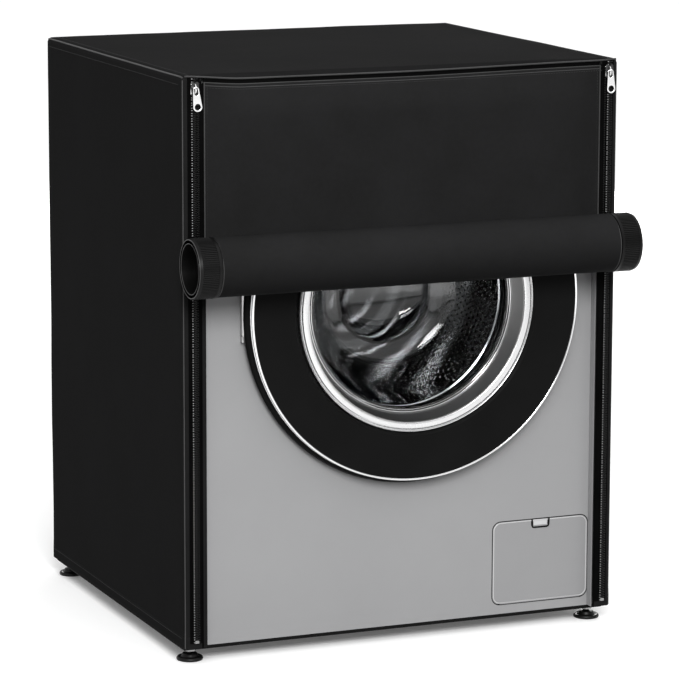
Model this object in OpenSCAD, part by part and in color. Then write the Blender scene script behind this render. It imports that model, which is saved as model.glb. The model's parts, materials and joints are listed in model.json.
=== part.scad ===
// Front-loading washing machine inside its fitted zip-up fabric cover.
// Front faces -Y, up is +Z. The origin is on the floor, under the middle of the cover's width
// and the middle of the overall depth, roll included.

/* [Cover] */
// Width of the fabric cover
cover_w = 666; // [640:1:700]
// Depth of the fabric cover, front plane to back
cover_d = 596; // [580:1:640]
// Height of the cover, hem to top
cover_h = 807; // [790:1:830]
// Height of the hem above the floor
hem_z = 24; // [20:1:28]
// Thickness of the cover fabric
fabric_t = 2; // [1:0.5:3]
// Width of the front border that carries each zip
border_w = 29; // [28:1:31]

/* [Rolled flap] */
// Half width of the front flap
flap_half_w = 302; // [290:1:302]
// Height of the roll's axis above the floor
roll_z = 574; // [540:1:600]
// Place of the roll's middle to the right of the cover's middle
roll_x = -9; // [-10:1:0]
// Radius of the rolled fabric
roll_r = 41.5; // [38:0.5:41.5]
// Radius of the knurled end caps
cap_r = 42; // [41:0.5:43]
// Length of one end cap
cap_l = 32; // [30:1:42]
// Ribs around one end cap
cap_ribs = 90; // [60:2:96]

/* [Cabinet] */
// How far the steel front stands behind the cover's front plane
panel_recess = 18; // [16:1:22]
// Air between the cabinet and the cover's inside
cover_gap = 4; // [3:1:6]
// Underside of the base pan above the floor
base_z = 18; // [16:1:20]
// Thickness of the sheet steel
steel_t = 1; // [0.8:0.2:2]
// Thickness of the worktop
worktop_t = 15; // [12:1:20]

/* [Door] */
// Door centre, right of the middle
door_x = 16; // [0:1:16]
// Door centre above the floor
door_z = 492; // [490:1:498]
// Outer radius of the door
door_r = 257; // [250:1:258]
// Inner radius of the dark door ring
ring_inner_r = 181.5; // [178:0.5:184]
// Radius of the glass where it meets the bezel
glass_r = 156; // [154:1:160]

/* [Drum] */
// Inner radius of the drum
drum_r = 238; // [220:1:240]
// Length of the drum
drum_l = 328; // [280:1:335]
// Radius of the drum's mouth
drum_mouth_r = 152; // [150:1:155]

/* [Service hatch] */
// Width of the hatch
hatch_w = 153; // [140:1:156]
// Height of the hatch
hatch_h = 123; // [110:1:124]

/* [Feet] */
// Radius of a foot's pad
foot_r = 19; // [16:1:20]
// Radius of a foot's threaded stud
stud_r = 5; // [4:1:6]

/* [Hidden] */
$fn = 96;

// The cover. "off" is a distance in front of the cover's front plane, so places behind it are negative.
flap_off = 15;                                  // back of the hanging flap
flap_t = 1.5;
roll_off = flap_off + flap_t + 0.5 + roll_r;    // axis of the roll
front_y = (roll_off + cap_r - cover_d) / 2;     // the cover's front plane
back_y = front_y + cover_d;
cover_top_z = hem_z + cover_h;
flap_hinge_off = 4;
flap_hinge_z = cover_top_z + 2;
roll_half_w = flap_half_w;
tube_r = 33;
recess = 20;                                    // depth of the hollow in an end cap
cap_floor = 2;

// The cabinet.
panel_y = front_y + panel_recess;
cab_half_w = cover_w / 2 - fabric_t - cover_gap;
cab_back_y = back_y - fabric_t - cover_gap;
cab_top_z = cover_top_z - fabric_t - 0.5;
pan_t = 5;
wall_z = base_z + pan_t;
worktop_z = cab_top_z - worktop_t;
fascia_z = door_z + door_r + 5;
fascia_h = worktop_z - fascia_z;

// The door. Its rings turn about an axis along Y, and their profiles are drawn as [radius, off].
door_front_off = 12;
door_back_off = 0.8 - panel_recess;
hinge_x = door_x - door_r + 3;
hinge_off = -13.5;
panel_hole_r = 196;
latch_x = door_x + 225;

// The drum and what drives it, as depths behind the steel front.
drum_depth = 42;
tub_depth = 34;
tub_back_depth = drum_depth + drum_l + 32;
tub_r = drum_r + 20;
pulley_depth = tub_back_depth + 36;
pulley_r = 140;
motor_pulley_r = 12;
belt_t = 3;
shaft_r = 15;
motor_x = door_x - 70;
motor_z = 118;

// The controls.
knob_x = 60;
button_xs = [-90, 240, 266, 292];
button_r = 5.5;
button_z = fascia_z + fascia_h / 2;
drawer_w = 190;
drawer_x = -flap_half_w + 2;
drawer_l = 220;

// The hatch at the lower right, with the pump's filter behind it.
hatch_x = 150;
hatch_z = 37;
hatch_t = 4;
hatch_pin_r = 1.2;
hatch_pin_z = hatch_z + hatch_pin_r;
filter_x = hatch_x + hatch_w / 2;
filter_z = 98;
hose_depth = 95;                                // middle of the sump hose, behind the steel front
pump_depth = 24;                                // front of the filter's grip, behind the steel front

// The feet.
foot_x = cab_half_w - 15;
foot_front_y = panel_y + 18;
foot_back_y = cab_back_y - 25;

// The zips.
zip_x = 312.5;
zip_top_z = cover_top_z - 3;
zip_bottom_z = hem_z + 8;
slider_z = cover_top_z - 26;
puller_off = 6.5;
puller_pin_z = slider_z + 10;

// Colours.
silver = [0.66, 0.66, 0.67];
black = [0.04, 0.04, 0.045];
cloth = [0.03, 0.03, 0.033];
steel = [0.75, 0.76, 0.78];
rubber = [0.25, 0.26, 0.27];

// Stands a profile or solid up on the door's axis, so that its z is "off".
module on_door_axis() {
    translate([door_x, front_y, door_z]) rotate([90, 0, 0]) children();
}

// A ring about the door's axis from a profile of [radius, off] points.
module door_turned(points) {
    on_door_axis() rotate_extrude($fn = 160) polygon(points);
}

// The same, with depths behind the steel front in place of off.
module drum_turned(points) {
    door_turned([for (p = points) [p[0], -panel_recess - p[1]]]);
}

// Something on an axis along Y at x, z, whose own z runs backwards from the steel front.
module behind_panel(x, z) {
    translate([x, panel_y, z]) rotate([-90, 0, 0]) children();
}

// Something on the roll's axis, which lies along X.
module on_roll_axis() {
    translate([roll_x, front_y - roll_off, roll_z]) rotate([0, 90, 0]) children();
}

module box(low, high) {
    translate(low) cube(high - low);
}

// A plate with round corners, lying in X and Z and running back from its front face.
module front_plate(x0, x1, z0, z1, y, t, r) {
    translate([0, y + t, 0]) rotate([90, 0, 0]) linear_extrude(t) round_outline(x0, x1, z0, z1, r);
}

module round_outline(x0, x1, y0, y1, r) {
    translate([x0, y0 + r]) square([x1 - x0, y1 - y0 - 2 * r]);
    translate([x0 + r, y0]) square([x1 - x0 - 2 * r, y1 - y0]);
    for (x = [x0 + r, x1 - r], y = [y0 + r, y1 - r]) translate([x, y]) circle(r, $fn = 48);
}

// ---- Cabinet ----

module base_pan() color(black) difference() {
    box([-cab_half_w, panel_y, base_z], [cab_half_w, cab_back_y, wall_z]);
    for (p = foot_places()) translate([p[0], p[1], base_z - 1]) cylinder(r = stud_r + 0.3, h = pan_t + 2);
}

// A side of the housing, notched at the top of its front edge for the control panel.
module cabinet_side(side) color(silver) {
    x = side * (cab_half_w - steel_t / 2);
    difference() {
        box([x - steel_t / 2, panel_y + steel_t, wall_z], [x + steel_t / 2, cab_back_y - steel_t, worktop_z]);
        box([x - steel_t, panel_y, fascia_z - 0.5], [x + steel_t, panel_y + 3.3, worktop_z + 1]);
    }
}

module cabinet_back() color(silver) difference() {
    box([-cab_half_w, cab_back_y - steel_t, wall_z], [cab_half_w, cab_back_y, worktop_z]);
    for (z = [90 : 14 : 160]) box([-180, cab_back_y - 4, z], [-60, cab_back_y + 1, z + 6]);
}

module worktop() color(silver) translate([0, 0, worktop_z])
    linear_extrude(worktop_t) round_outline(-cab_half_w, cab_half_w, panel_y, cab_back_y, 6);

module front_panel() color(silver) difference() {
    front_plate(-cab_half_w, cab_half_w, wall_z, fascia_z - 0.5, panel_y, steel_t, 2);
    behind_panel(door_x, door_z) translate([0, 0, -1]) cylinder(r = panel_hole_r, h = steel_t + 2, $fn = 160);
    front_plate(hatch_x - 1, hatch_x + hatch_w + 1, hatch_z - 1, hatch_z + hatch_h + 1, panel_y - 1, steel_t + 2, 13);
    box([latch_x - 5, panel_y - 1, door_z - 14], [latch_x + 9, panel_y + 3, door_z + 14]);
}

// ---- Controls ----

module control_fascia() color(silver) difference() {
    front_plate(-cab_half_w, cab_half_w, fascia_z, worktop_z - 0.5, panel_y, 3, 2);
    box([drawer_x, panel_y - 1, fascia_z + 3], [drawer_x + drawer_w + 2, panel_y + 4, worktop_z - 4]);
    behind_panel(knob_x, button_z) translate([0, 0, -1]) cylinder(r = 3.6, h = 6);
    for (x = button_xs) behind_panel(x, button_z) translate([0, 0, -1]) cylinder(r = button_r + 0.4, h = 6);
    box([100, panel_y - 1, button_z - 13], [210, panel_y + 1.6, button_z + 13]);
}

module display_window() color([0.02, 0.02, 0.03])
    front_plate(100.5, 209.5, button_z - 12.5, button_z + 12.5, panel_y - 0.6, 2, 3);

module program_knob() color([0.55, 0.55, 0.57]) behind_panel(knob_x, button_z) difference() {
    union() {
        translate([0, 0, -13]) cylinder(r1 = 15.5, r2 = 16.5, h = 2);
        translate([0, 0, -11]) cylinder(r = 16.5, h = 10.4);
        translate([0, 0, -1]) cylinder(r = 3.5, h = 14);
    }
    translate([-0.8, 7, -13.5]) cube([1.6, 8, 1.2]);
}

module button(x, tint) color(tint) behind_panel(x, button_z) {
    translate([0, 0, -2]) cylinder(r = button_r, h = 7);
    translate([0, 0, 5]) cylinder(r = 2, h = 5);
}

module detergent_drawer() color(silver) {
    z0 = fascia_z + 4;
    z1 = worktop_z - 5;
    x1 = drawer_x + drawer_w;
    front_plate(drawer_x + 1, x1, z0, z1, panel_y - 1.5, 4, 3);
    difference() {
        box([drawer_x + 4, panel_y + 2.5, z0 + 1], [x1 - 4, panel_y + drawer_l, z1 - 2]);
        for (i = [0 : 2]) let (w = (drawer_w - 12) / 3)
            box([drawer_x + 6 + i * w, panel_y + 6, z0 + 3],
                [drawer_x + 4 + (i + 1) * w, panel_y + drawer_l - 2, z1]);
    }
}

// ---- Service hatch and pump ----

// It turns on a bead along its lower edge, which lies at the face of the steel.
module service_hatch() color(silver) difference() {
    union() {
        intersection() {
            front_plate(hatch_x, hatch_x + hatch_w, hatch_z, hatch_z + hatch_h, panel_y, hatch_t, 12);
            box([hatch_x, panel_y, hatch_pin_z], [hatch_x + hatch_w, panel_y + hatch_t, hatch_z + hatch_h]);
        }
        translate([hatch_x + 12, panel_y, hatch_pin_z]) rotate([0, 90, 0])
            cylinder(r = hatch_pin_r, h = hatch_w - 24);
    }
    box([filter_x - 15, panel_y - 1, hatch_z + hatch_h - 9], [filter_x + 15, panel_y + 2.5, hatch_z + hatch_h + 1]);
}

// The pump's housing on its foot, with a moulded pocket in front that the hatch closes.
module drain_pump() color([0.2, 0.2, 0.21]) {
    wall = 2;
    floor_depth = pump_depth + 16;
    difference() {
        front_plate(hatch_x + 0.5, hatch_x + hatch_w - 0.5, hatch_z + 0.5, hatch_z + hatch_h - 0.5,
            panel_y + hatch_t + 1, floor_depth - hatch_t, 12);
        front_plate(hatch_x + 0.5 + wall, hatch_x + hatch_w - 0.5 - wall, hatch_z + 0.5 + wall,
            hatch_z + hatch_h - 0.5 - wall, panel_y + hatch_t, floor_depth - hatch_t - 1, 10);
        behind_panel(filter_x, filter_z) cylinder(r = 27, h = floor_depth + 10);
    }
    behind_panel(filter_x, filter_z) difference() {
        union() {
            translate([0, 0, floor_depth + 1]) cylinder(r = 30, h = 80);
            translate([0, 0, floor_depth + 81]) cylinder(r = 22, h = 45);
            translate([0, 0, hose_depth]) rotate([0, -90, 0]) cylinder(r = 15, h = 58);
        }
        translate([0, 0, floor_depth]) cylinder(r = 24.4, h = 28);
        translate([0, 0, hose_depth]) rotate([0, -90, 0]) cylinder(r = 12, h = 59);
    }
    box([filter_x - 22, panel_y + floor_depth + 84, wall_z], [filter_x + 22, panel_y + floor_depth + 100, filter_z - 21]);
}

module pump_filter_cap() color([0.8, 0.8, 0.8]) behind_panel(filter_x, filter_z) {
    translate([-22, -3, pump_depth]) cube([44, 6, 9]);
    translate([0, 0, pump_depth + 8]) cylinder(r = 26.5, h = 8);
    translate([0, 0, pump_depth + 16]) cylinder(r = 24, h = 26);
}

// A bellows hose from the pump to the bottom of the tub.
module sump_hose() color(rubber) {
    run = filter_x - 58.5 - door_x;
    rise = door_z - tub_r - 4.4 - filter_z;
    translate([door_x, panel_y + hose_depth, filter_z]) difference() {
        union() {
            rotate([0, 90, 0]) ribbed_rod(18, run);
            ribbed_rod(18, rise);
            sphere(18);
        }
        rotate([0, 90, 0]) cylinder(r = 14, h = run + 1);
        cylinder(r = 14, h = rise + 1);
        sphere(14);
    }
}

// A rod along z, with a bead every 9 mm.
module ribbed_rod(r, length) {
    cylinder(r = r - 2, h = length);
    for (i = [2 : floor(length / 9) - 1]) translate([0, 0, i * 9]) cylinder(r = r, h = 4);
}

// ---- Door ----

// Two lugs on the steel front hold the pin.
module door_hinge_bracket() color(steel) {
    translate([hinge_x, front_y - hinge_off, door_z - 38]) cylinder(r = 2.5, h = 76);
    for (z = [door_z - 38, door_z + 30])
        box([hinge_x - 3.5, front_y - hinge_off - 3.5, z], [hinge_x + 3.5, panel_y, z + 8]);
}

// A barrel on the pin, with a leaf that is screwed to the back ring.
module door_hinge_arm() color(steel) {
    difference() {
        union() {
            translate([hinge_x, front_y - hinge_off, door_z - 28]) cylinder(r = 3.8, h = 56);
            box([hinge_x + 1, front_y - hinge_off - 1, door_z - 24], [hinge_x + 34, front_y - hinge_off + 1, door_z + 24]);
        }
        translate([hinge_x, front_y - hinge_off, door_z - 29]) cylinder(r = 2.55, h = 58);
    }
}

// The dark outer ring: a hollow C section with a bevel at its inner edge and a grip pocket on the right.
module door_frame() color(black) difference() {
    f = door_front_off;
    door_turned([
        [ring_inner_r, f - 5], [ring_inner_r + 5, f - 1], [door_r - 10, f - 1], [door_r - 10, f - 11.6],
        [door_r - 5, f - 11.6], [door_r - 1.8, f - 14.5], [door_r, f - 19], [door_r - 1.5, f - 25],
        [door_r - 5, door_back_off], [door_r - 9, door_back_off], [door_r - 6.5, f - 23],
        [door_r - 13, f - 15], [door_r - 13, f - 4], [ring_inner_r + 6, f - 4], [ring_inner_r + 3, f - 8],
        [ring_inner_r + 3, -13.8], [ring_inner_r, -13.8]
    ]);
    box([hinge_x - 8, front_y + 7.8, door_z - 42], [hinge_x + 12, panel_y + 1, door_z + 42]);
    box([door_x + door_r - 12, front_y + 9, door_z - 55], [door_x + door_r + 2, panel_y + 1, door_z + 55]);
}

module door_trim_ring() color(steel) let (f = door_front_off) door_turned([
    [door_r - 9.6, f - 11], [door_r - 9.6, f - 1], [door_r - 8.4, f], [door_r - 7, f], [door_r - 5.6, f - 1.4],
    [door_r - 5.6, f - 11]
]);

// The bright bezel: a flat ring, then a cone that leads in to the glass.
module door_inner_bezel() color(steel) let (f = door_front_off + 1.2) door_turned([
    [glass_r + 9, f - 1.7], [glass_r + 10.5, f], [ring_inner_r - 4, f], [ring_inner_r - 1.5, f - 2.2],
    [ring_inner_r - 1.5, -13.8], [ring_inner_r - 4.5, -13.8], [ring_inner_r - 4.5, f - 3.7],
    [glass_r + 11.8, f - 3.7], [glass_r + 3.6, -13.8], [glass_r + 0.5, -13.8]
]);

// A bowl that reaches into the drum, with a flange behind the bezel.
module door_glass() color([0.6, 0.65, 0.7, 0.4]) door_turned(concat(
    [[glass_r + 9, -14.2], [glass_r + 9, -17], [glass_r - 3, -17]],
    [[118, -92], [104, -108], [80, -112]],
    [for (a = [0 : 15 : 90]) [76 * cos(a), -114 - 30 * sin(a)]],
    [for (a = [90 : -15 : 0]) [71 * cos(a), -109 - 30 * sin(a)]],
    [[80, -107], [101, -103], [114, -90]],
    [[glass_r - 6, -14.2]]
));

// The ring that closes the door's back and clamps the glass.
module door_back_ring() color([0.12, 0.12, 0.12]) difference() {
    door_turned([
        [glass_r + 10, -17.1], [glass_r + 10, -14.8], [door_r - 10, -14.8], [door_r - 10, -17.1]
    ]);
    box([hinge_x - 8, front_y + 7, door_z - 42], [hinge_x + 5, panel_y + 1, door_z + 42]);
}

module door_latch_hook() color(steel) {
    y0 = front_y + 17.2;
    box([latch_x - 2, y0, door_z - 8], [latch_x + 2, y0 + 24, door_z + 8]);
    box([latch_x - 2, y0 + 19, door_z - 12], [latch_x + 2, y0 + 24, door_z - 8]);
}

module door_lock() color(black) difference() {
    box([latch_x - 12, panel_y + 2.2, door_z - 34], [latch_x + 16, panel_y + 34, door_z + 40]);
    box([latch_x - 5, panel_y + 2, door_z - 14], [latch_x + 9, panel_y + 30, door_z + 14]);
}

// The bellows between the steel front and the tub.
module door_gasket() color(rubber) drum_turned([
    [206, 2.2], [168, 2.2], [165, 5], [165, 13], [175, 17], [168, 21], [175, 25], [170, 30], [170, 33.8],
    [174, 33.8], [174, 30], [179, 25], [173, 21], [179, 17], [169, 11], [169, 6.5], [206, 6.5]
]);

// ---- Tub, drum and drive ----

module tub_front() color([0.85, 0.85, 0.83]) drum_turned([
    [176, tub_depth], [tub_r + 4, tub_depth], [tub_r + 4, 196], [tub_r + 12, 196], [tub_r + 12, 200],
    [tub_r, 200], [tub_r, tub_depth + 4], [176, tub_depth + 4]
]);

module tub_rear() color([0.85, 0.85, 0.83]) {
    d = tub_back_depth;
    drum_turned([
        [tub_r, 200.2], [tub_r + 12, 200.2], [tub_r + 12, 204], [tub_r + 4, 204], [tub_r + 4, d], [48, d],
        [48, d + 16], [31, d + 16], [31, d - 16], [44, d - 16], [48, d - 4], [tub_r, d - 4]
    ]);
}

module shaft_bearings() color(steel) for (depth = [tub_back_depth - 15, tub_back_depth + 3])
    drum_turned([[shaft_r + 0.05, depth], [31, depth], [31, depth + 12], [shaft_r + 0.05, depth + 12]]);

// A thin steel shell with a rolled mouth and a dished back.
module drum() color(steel) drum_turned([
    [drum_mouth_r, 31], [drum_mouth_r + 3, 29.5], [drum_mouth_r + 5, 31.5], [drum_mouth_r + 5, drum_depth],
    [drum_r - 8, drum_depth], [drum_r + 1.5, drum_depth + 8], [drum_r + 1.5, drum_depth + drum_l],
    [60, drum_depth + drum_l], [0, drum_depth + drum_l - 14], [0, drum_depth + drum_l - 16],
    [60, drum_depth + drum_l - 2], [drum_r, drum_depth + drum_l - 2], [drum_r, drum_depth + 9],
    [drum_r - 9, drum_depth + 1.5], [drum_mouth_r + 3.5, drum_depth + 1.5], [drum_mouth_r + 3, 32]
]);

// Three paddles inside the drum's wall.
module drum_lifters() color(steel) behind_panel(door_x, door_z)
    for (a = [90, 210, 330]) rotate([0, 0, a]) translate([0, 0, drum_depth + 20]) linear_extrude(drum_l - 50)
        intersection() {
            circle(drum_r - 0.3, $fn = 160);
            polygon([[drum_r + 5, -38], [drum_r - 20, -24], [drum_r - 42, -9], [drum_r - 44, -4],
                [drum_r - 44, 4], [drum_r - 42, 9], [drum_r - 20, 24], [drum_r + 5, 38]]);
        }

// A cast cross behind the drum, with the shaft in its hub.
module drum_spider() color([0.6, 0.6, 0.6]) behind_panel(door_x, door_z) {
    z0 = drum_depth + drum_l + 0.2;
    for (a = [30, 150, 270]) rotate([0, 0, a]) translate([0, -14, z0]) cube([drum_r - 6, 28, 10]);
    translate([0, 0, z0]) cylinder(r = 38, h = 12);
    translate([0, 0, z0]) cylinder(r = shaft_r, h = pulley_depth + 22 - z0);
}

module drum_pulley() color([0.6, 0.6, 0.6]) behind_panel(door_x, door_z) translate([0, 0, pulley_depth])
    difference() {
        union() {
            cylinder(r = pulley_r + 3, h = 2);
            translate([0, 0, 2]) cylinder(r = pulley_r, h = 12);
            translate([0, 0, 14]) cylinder(r = pulley_r + 3, h = 2);
        }
        translate([0, 0, -1]) cylinder(r = shaft_r, h = 20);
        for (a = [0 : 60 : 300]) rotate([0, 0, a]) translate([80, 0, -1]) cylinder(r = 32, h = 20);
    }

// The motor's axis from the drum's, in the plane of the belt, with Z turned to -y by behind_panel.
belt_dx = motor_x - door_x;
belt_dy = door_z - motor_z;
belt_length = norm([belt_dx, belt_dy]);
belt_angle = atan2(belt_dy, belt_dx);

// The outline that wraps a circle of radius r1 at the origin and one of radius r2 on the x axis.
module belt_outline(r1, r2) hull() {
    circle(r1);
    translate([belt_length, 0]) circle(r2, $fn = 32);
}

module drive_belt() color([0.08, 0.08, 0.08]) behind_panel(door_x, door_z) rotate([0, 0, belt_angle])
    translate([0, 0, pulley_depth + 3]) linear_extrude(10) difference() {
        belt_outline(pulley_r + 0.2 + belt_t, motor_pulley_r + 0.2 + belt_t);
        belt_outline(pulley_r + 0.2, motor_pulley_r + 0.2);
    }

module motor() color([0.35, 0.35, 0.37]) behind_panel(motor_x, motor_z) {
    difference() {
        union() {
            translate([0, 0, 270]) cylinder(r = 72, h = 120);
            for (a = [45 : 90 : 315]) rotate([0, 0, a]) translate([66, -8, 270]) cube([16, 16, 120]);
            translate([-26, tub_r + 7 - belt_dy, 384]) cube([52, belt_dy - tub_r + 20, 12]);
        }
        for (a = [0 : 30 : 330]) rotate([0, 0, a]) translate([56, -3, 268]) cube([20, 6, 90]);
        translate([0, 0, 300]) cylinder(r = 6.05, h = 120);
    }
}

module motor_pulley() color(steel) behind_panel(motor_x, motor_z) {
    translate([0, 0, 300]) cylinder(r = 6, h = pulley_depth + 16 - 300);
    translate([0, 0, pulley_depth]) cylinder(r = motor_pulley_r + 3, h = 2);
    translate([0, 0, pulley_depth + 2]) cylinder(r = motor_pulley_r, h = 12);
    translate([0, 0, pulley_depth + 14]) cylinder(r = motor_pulley_r + 3, h = 2);
}

// A concrete block strapped to the top of the tub.
module counterweight() color([0.55, 0.54, 0.52]) difference() {
    z0 = door_z + tub_r + 4;
    box([-150, panel_y + 240, z0 - 60], [180, panel_y + 396, worktop_z - 6]);
    behind_panel(door_x, door_z) translate([0, 0, 230]) cylinder(r = tub_r + 4.2, h = 180, $fn = 160);
    for (x = [-120, 150]) translate([x, panel_y + 320, z0 - 70]) cylinder(r = 7, h = 130);
}

// A coil of wire about z, with its ends at z = 0 and z = length.
function ring_at(i, n, turns, coil_r, wire_r, length, sides) = [
    for (s = [0 : sides - 1]) let (a = 360 * turns * i / n, b = 360 * s / sides, r = coil_r + wire_r * cos(b))
        [r * cos(a), r * sin(a), wire_r + (length - 2 * wire_r) * i / n + wire_r * sin(b)]
];

module coil_spring(coil_r, wire_r, length, turns) {
    sides = 6;
    n = turns * 14;
    points = [for (i = [0 : n]) each ring_at(i, n, turns, coil_r, wire_r, length, sides)];
    walls = [for (i = [0 : n - 1], s = [0 : sides - 1]) let (t = (s + 1) % sides)
        [i * sides + s, (i + 1) * sides + s, (i + 1) * sides + t, i * sides + t]];
    polyhedron(points, concat(walls, [[for (s = [0 : sides - 1]) s], [for (s = [sides - 1 : -1 : 0]) n * sides + s]]));
}

// A spring on each side hangs the tub from the cabinet's top.
module suspension_springs() color(steel) for (side = [-1, 1])
    translate([door_x + side * 284, panel_y + 200, door_z + 100]) coil_spring(11, 1.8, 150, 9);

// A friction strut on each side stands between the base pan and the tub.
module dampers() color([0.3, 0.3, 0.32]) {
    dx = 215;
    rod_r = 5;
    top_z = door_z - sqrt(pow(tub_r + 4, 2) - pow(dx - rod_r, 2)) - 0.4;
    for (side = [-1, 1]) translate([door_x + side * dx, panel_y + 220, 0]) {
        translate([0, 0, wall_z + 0.5]) cylinder(r = 15, h = 130);
        translate([0, 0, wall_z + 100]) cylinder(r = rod_r, h = top_z - wall_z - 100);
    }
}

// ---- Feet ----

function foot_places() = [for (x = [-foot_x, foot_x], y = [foot_front_y, foot_back_y]) [x, y]];

module foot(x, y) color(black) translate([x, y, 0]) {
    rotate_extrude() polygon([
        [0, 0], [foot_r - 1, 0], [foot_r, 1], [foot_r, 3.6], [foot_r - 2, 5.2], [9, 6.4], [0, 6.4]
    ]);
    cylinder(r = stud_r, h = 34);
}

module foot_lock_nuts() color(steel) for (p = foot_places()) translate([p[0], p[1], base_z - 5]) difference() {
    cylinder(r = 9.2, h = 5, $fn = 6);
    translate([0, 0, -1]) cylinder(r = stud_r + 0.05, h = 7);
}

// ---- Cover ----

module cover_top() color(cloth) translate([0, 0, cover_top_z - fabric_t]) linear_extrude(fabric_t)
    round_outline(-cover_w / 2, cover_w / 2, front_y, back_y, 6);

// A side panel with the front border that carries the zip.
module cover_side(side) color(cloth) translate([0, 0, hem_z]) linear_extrude(cover_h - fabric_t - 0.1)
    scale_x(side) polygon([
        [cover_w / 2, front_y], [cover_w / 2, back_y], [cover_w / 2 - fabric_t, back_y],
        [cover_w / 2 - fabric_t, front_y + fabric_t], [cover_w / 2 - border_w, front_y + fabric_t],
        [cover_w / 2 - border_w, front_y]
    ]);

module scale_x(side) {
    if (side > 0) children();
    else mirror([1, 0]) children();
}

module cover_back() color(cloth) {
    x = cover_w / 2 - fabric_t - 0.1;
    box([-x, back_y - fabric_t, hem_z], [x, back_y, cover_top_z - fabric_t - 0.1]);
}

module zip_chains() color(black) for (side = [-1, 1]) {
    box([side * zip_x - 3, front_y - 1.6, zip_bottom_z], [side * zip_x + 3, front_y - 0.1, zip_top_z]);
}

// A channel that rides over the chain, with two ears for the puller's pin.
module zip_slider(side) color(steel) translate([side * zip_x, front_y, slider_z]) {
    linear_extrude(20) polygon([
        [-6, -0.3], [-6, -4.2], [6, -4.2], [6, -0.3], [4.6, -0.3], [4.6, -2], [-4.6, -2], [-4.6, -0.3]
    ]);
    for (x = [-4.4, 3.2]) box([x, -8, 7], [x + 1.2, -4.2, 13]);
    translate([-4.4, -puller_off, 10]) rotate([0, 90, 0]) cylinder(r = 1, h = 8.8);
}

// A flat tab that hangs from the pin by its barrel.
module zip_puller(side) color(steel) translate([side * zip_x, front_y - puller_off, puller_pin_z]) difference() {
    union() {
        translate([-2.9, 0, 0]) rotate([0, 90, 0]) cylinder(r = 1.9, h = 5.8);
        translate([0, 0.8, 0]) rotate([90, 0, 0]) linear_extrude(1.6) {
            translate([-2.9, -9]) square([5.8, 9]);
            polygon([[-2.9, -7.5], [2.9, -7.5], [4.6, -11], [7, -25.5], [-7, -25.5], [-4.6, -11]]);
            translate([0, -25.5]) circle(7, $fn = 48);
        }
    }
    translate([-4, 0, 0]) rotate([0, 90, 0]) cylinder(r = 1.05, h = 8);
    translate([0, 3, -25.5]) rotate([90, 0, 0]) cylinder(r = 4, h = 6);
}

// ---- Rolled flap ----

// The flap leans out over the door from its bead, then hangs straight down behind the roll.
module flap_sheet() color(cloth) translate([0, front_y, 0]) {
    bead_r = 1.5;
    lean_z = door_z + door_r + 10;
    end_z = roll_z + 4;
    translate([flap_half_w, 0, 0]) rotate([0, -90, 0]) linear_extrude(2 * flap_half_w) polygon([
        [flap_hinge_z, -flap_hinge_off + 0.7], [flap_hinge_z, -flap_hinge_off - 0.7],
        [lean_z, -flap_off - flap_t], [end_z, -flap_off - flap_t], [end_z, -flap_off], [lean_z, -flap_off]
    ]);
    translate([-flap_half_w, -flap_hinge_off, flap_hinge_z]) rotate([0, 90, 0])
        cylinder(r = bead_r, h = 2 * flap_half_w);
}

module flap_roll() color(cloth) on_roll_axis() difference() {
    translate([0, 0, -flap_half_w]) cylinder(r = roll_r, h = 2 * flap_half_w);
    translate([0, 0, -flap_half_w - 1]) cylinder(r = tube_r + 0.2, h = 2 * flap_half_w + 2);
}

module roller_tube() color([0.1, 0.1, 0.1]) on_roll_axis() difference() {
    x = roll_half_w + cap_l - recess - cap_floor - 0.4;
    translate([0, 0, -x]) cylinder(r = tube_r, h = 2 * x);
    translate([0, 0, -x - 1]) cylinder(r = tube_r - 4, h = 2 * x + 2);
}

// A ribbed outline: each rib is a flat top between two slanted flanks.
function rib_outline(r, depth, n) = [
    for (i = [0 : n - 1], p = [[0.05, 0], [0.45, 0], [0.6, depth], [0.9, depth]])
        (r - p[1]) * [cos(360 * (i + p[0]) / n), sin(360 * (i + p[0]) / n)]
];

// A cap slides over the tube's end, and is recessed on its outside.
module roller_end_caps() color(black) on_roll_axis() for (side = [0, 1]) mirror([0, 0, side])
    translate([0, 0, roll_half_w]) difference() {
        union() {
            cylinder(r = cap_r, h = 4);
            translate([0, 0, 4]) linear_extrude(cap_l - 8) polygon(rib_outline(cap_r - 0.2, 0.9, cap_ribs));
            translate([0, 0, cap_l - 4]) cylinder(r1 = cap_r, r2 = cap_r - 1.5, h = 4);
        }
        translate([0, 0, -1]) cylinder(r = tube_r + 0.2, h = cap_l - recess - cap_floor + 1);
        translate([0, 0, cap_l - recess]) cylinder(r = cap_r - 7.5, h = recess + 1);
    }

// The rod that the tube turns on, with a disc near each end.
module roller_axle() color(steel) on_roll_axis() {
    translate([0, 0, -280]) cylinder(r = 5, h = 560);
    for (x = [-250, 238]) translate([0, 0, x]) cylinder(r = tube_r - 4.08, h = 12);
}

base_pan();
cabinet_side(-1);  // cabinet_left_side
cabinet_side(1);  // cabinet_right_side
cabinet_back();
worktop();
front_panel();
control_fascia();
display_window();
program_knob();
button(button_xs[0], black);  // power_button
button(button_xs[1], steel);  // start_button
button(button_xs[2], silver);  // temperature_button
button(button_xs[3], silver);  // spin_button
detergent_drawer();
service_hatch();
drain_pump();
pump_filter_cap();
sump_hose();
door_hinge_bracket();
door_hinge_arm();
door_frame();
door_trim_ring();
door_inner_bezel();
door_glass();
door_back_ring();
door_latch_hook();
door_lock();
door_gasket();
tub_front();
tub_rear();
shaft_bearings();
drum();
drum_lifters();
drum_spider();
drum_pulley();
drive_belt();
motor();
motor_pulley();
counterweight();
suspension_springs();
dampers();
foot(-foot_x, foot_front_y);  // foot_front_left
foot(foot_x, foot_front_y);  // foot_front_right
foot(-foot_x, foot_back_y);  // foot_back_left
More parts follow.
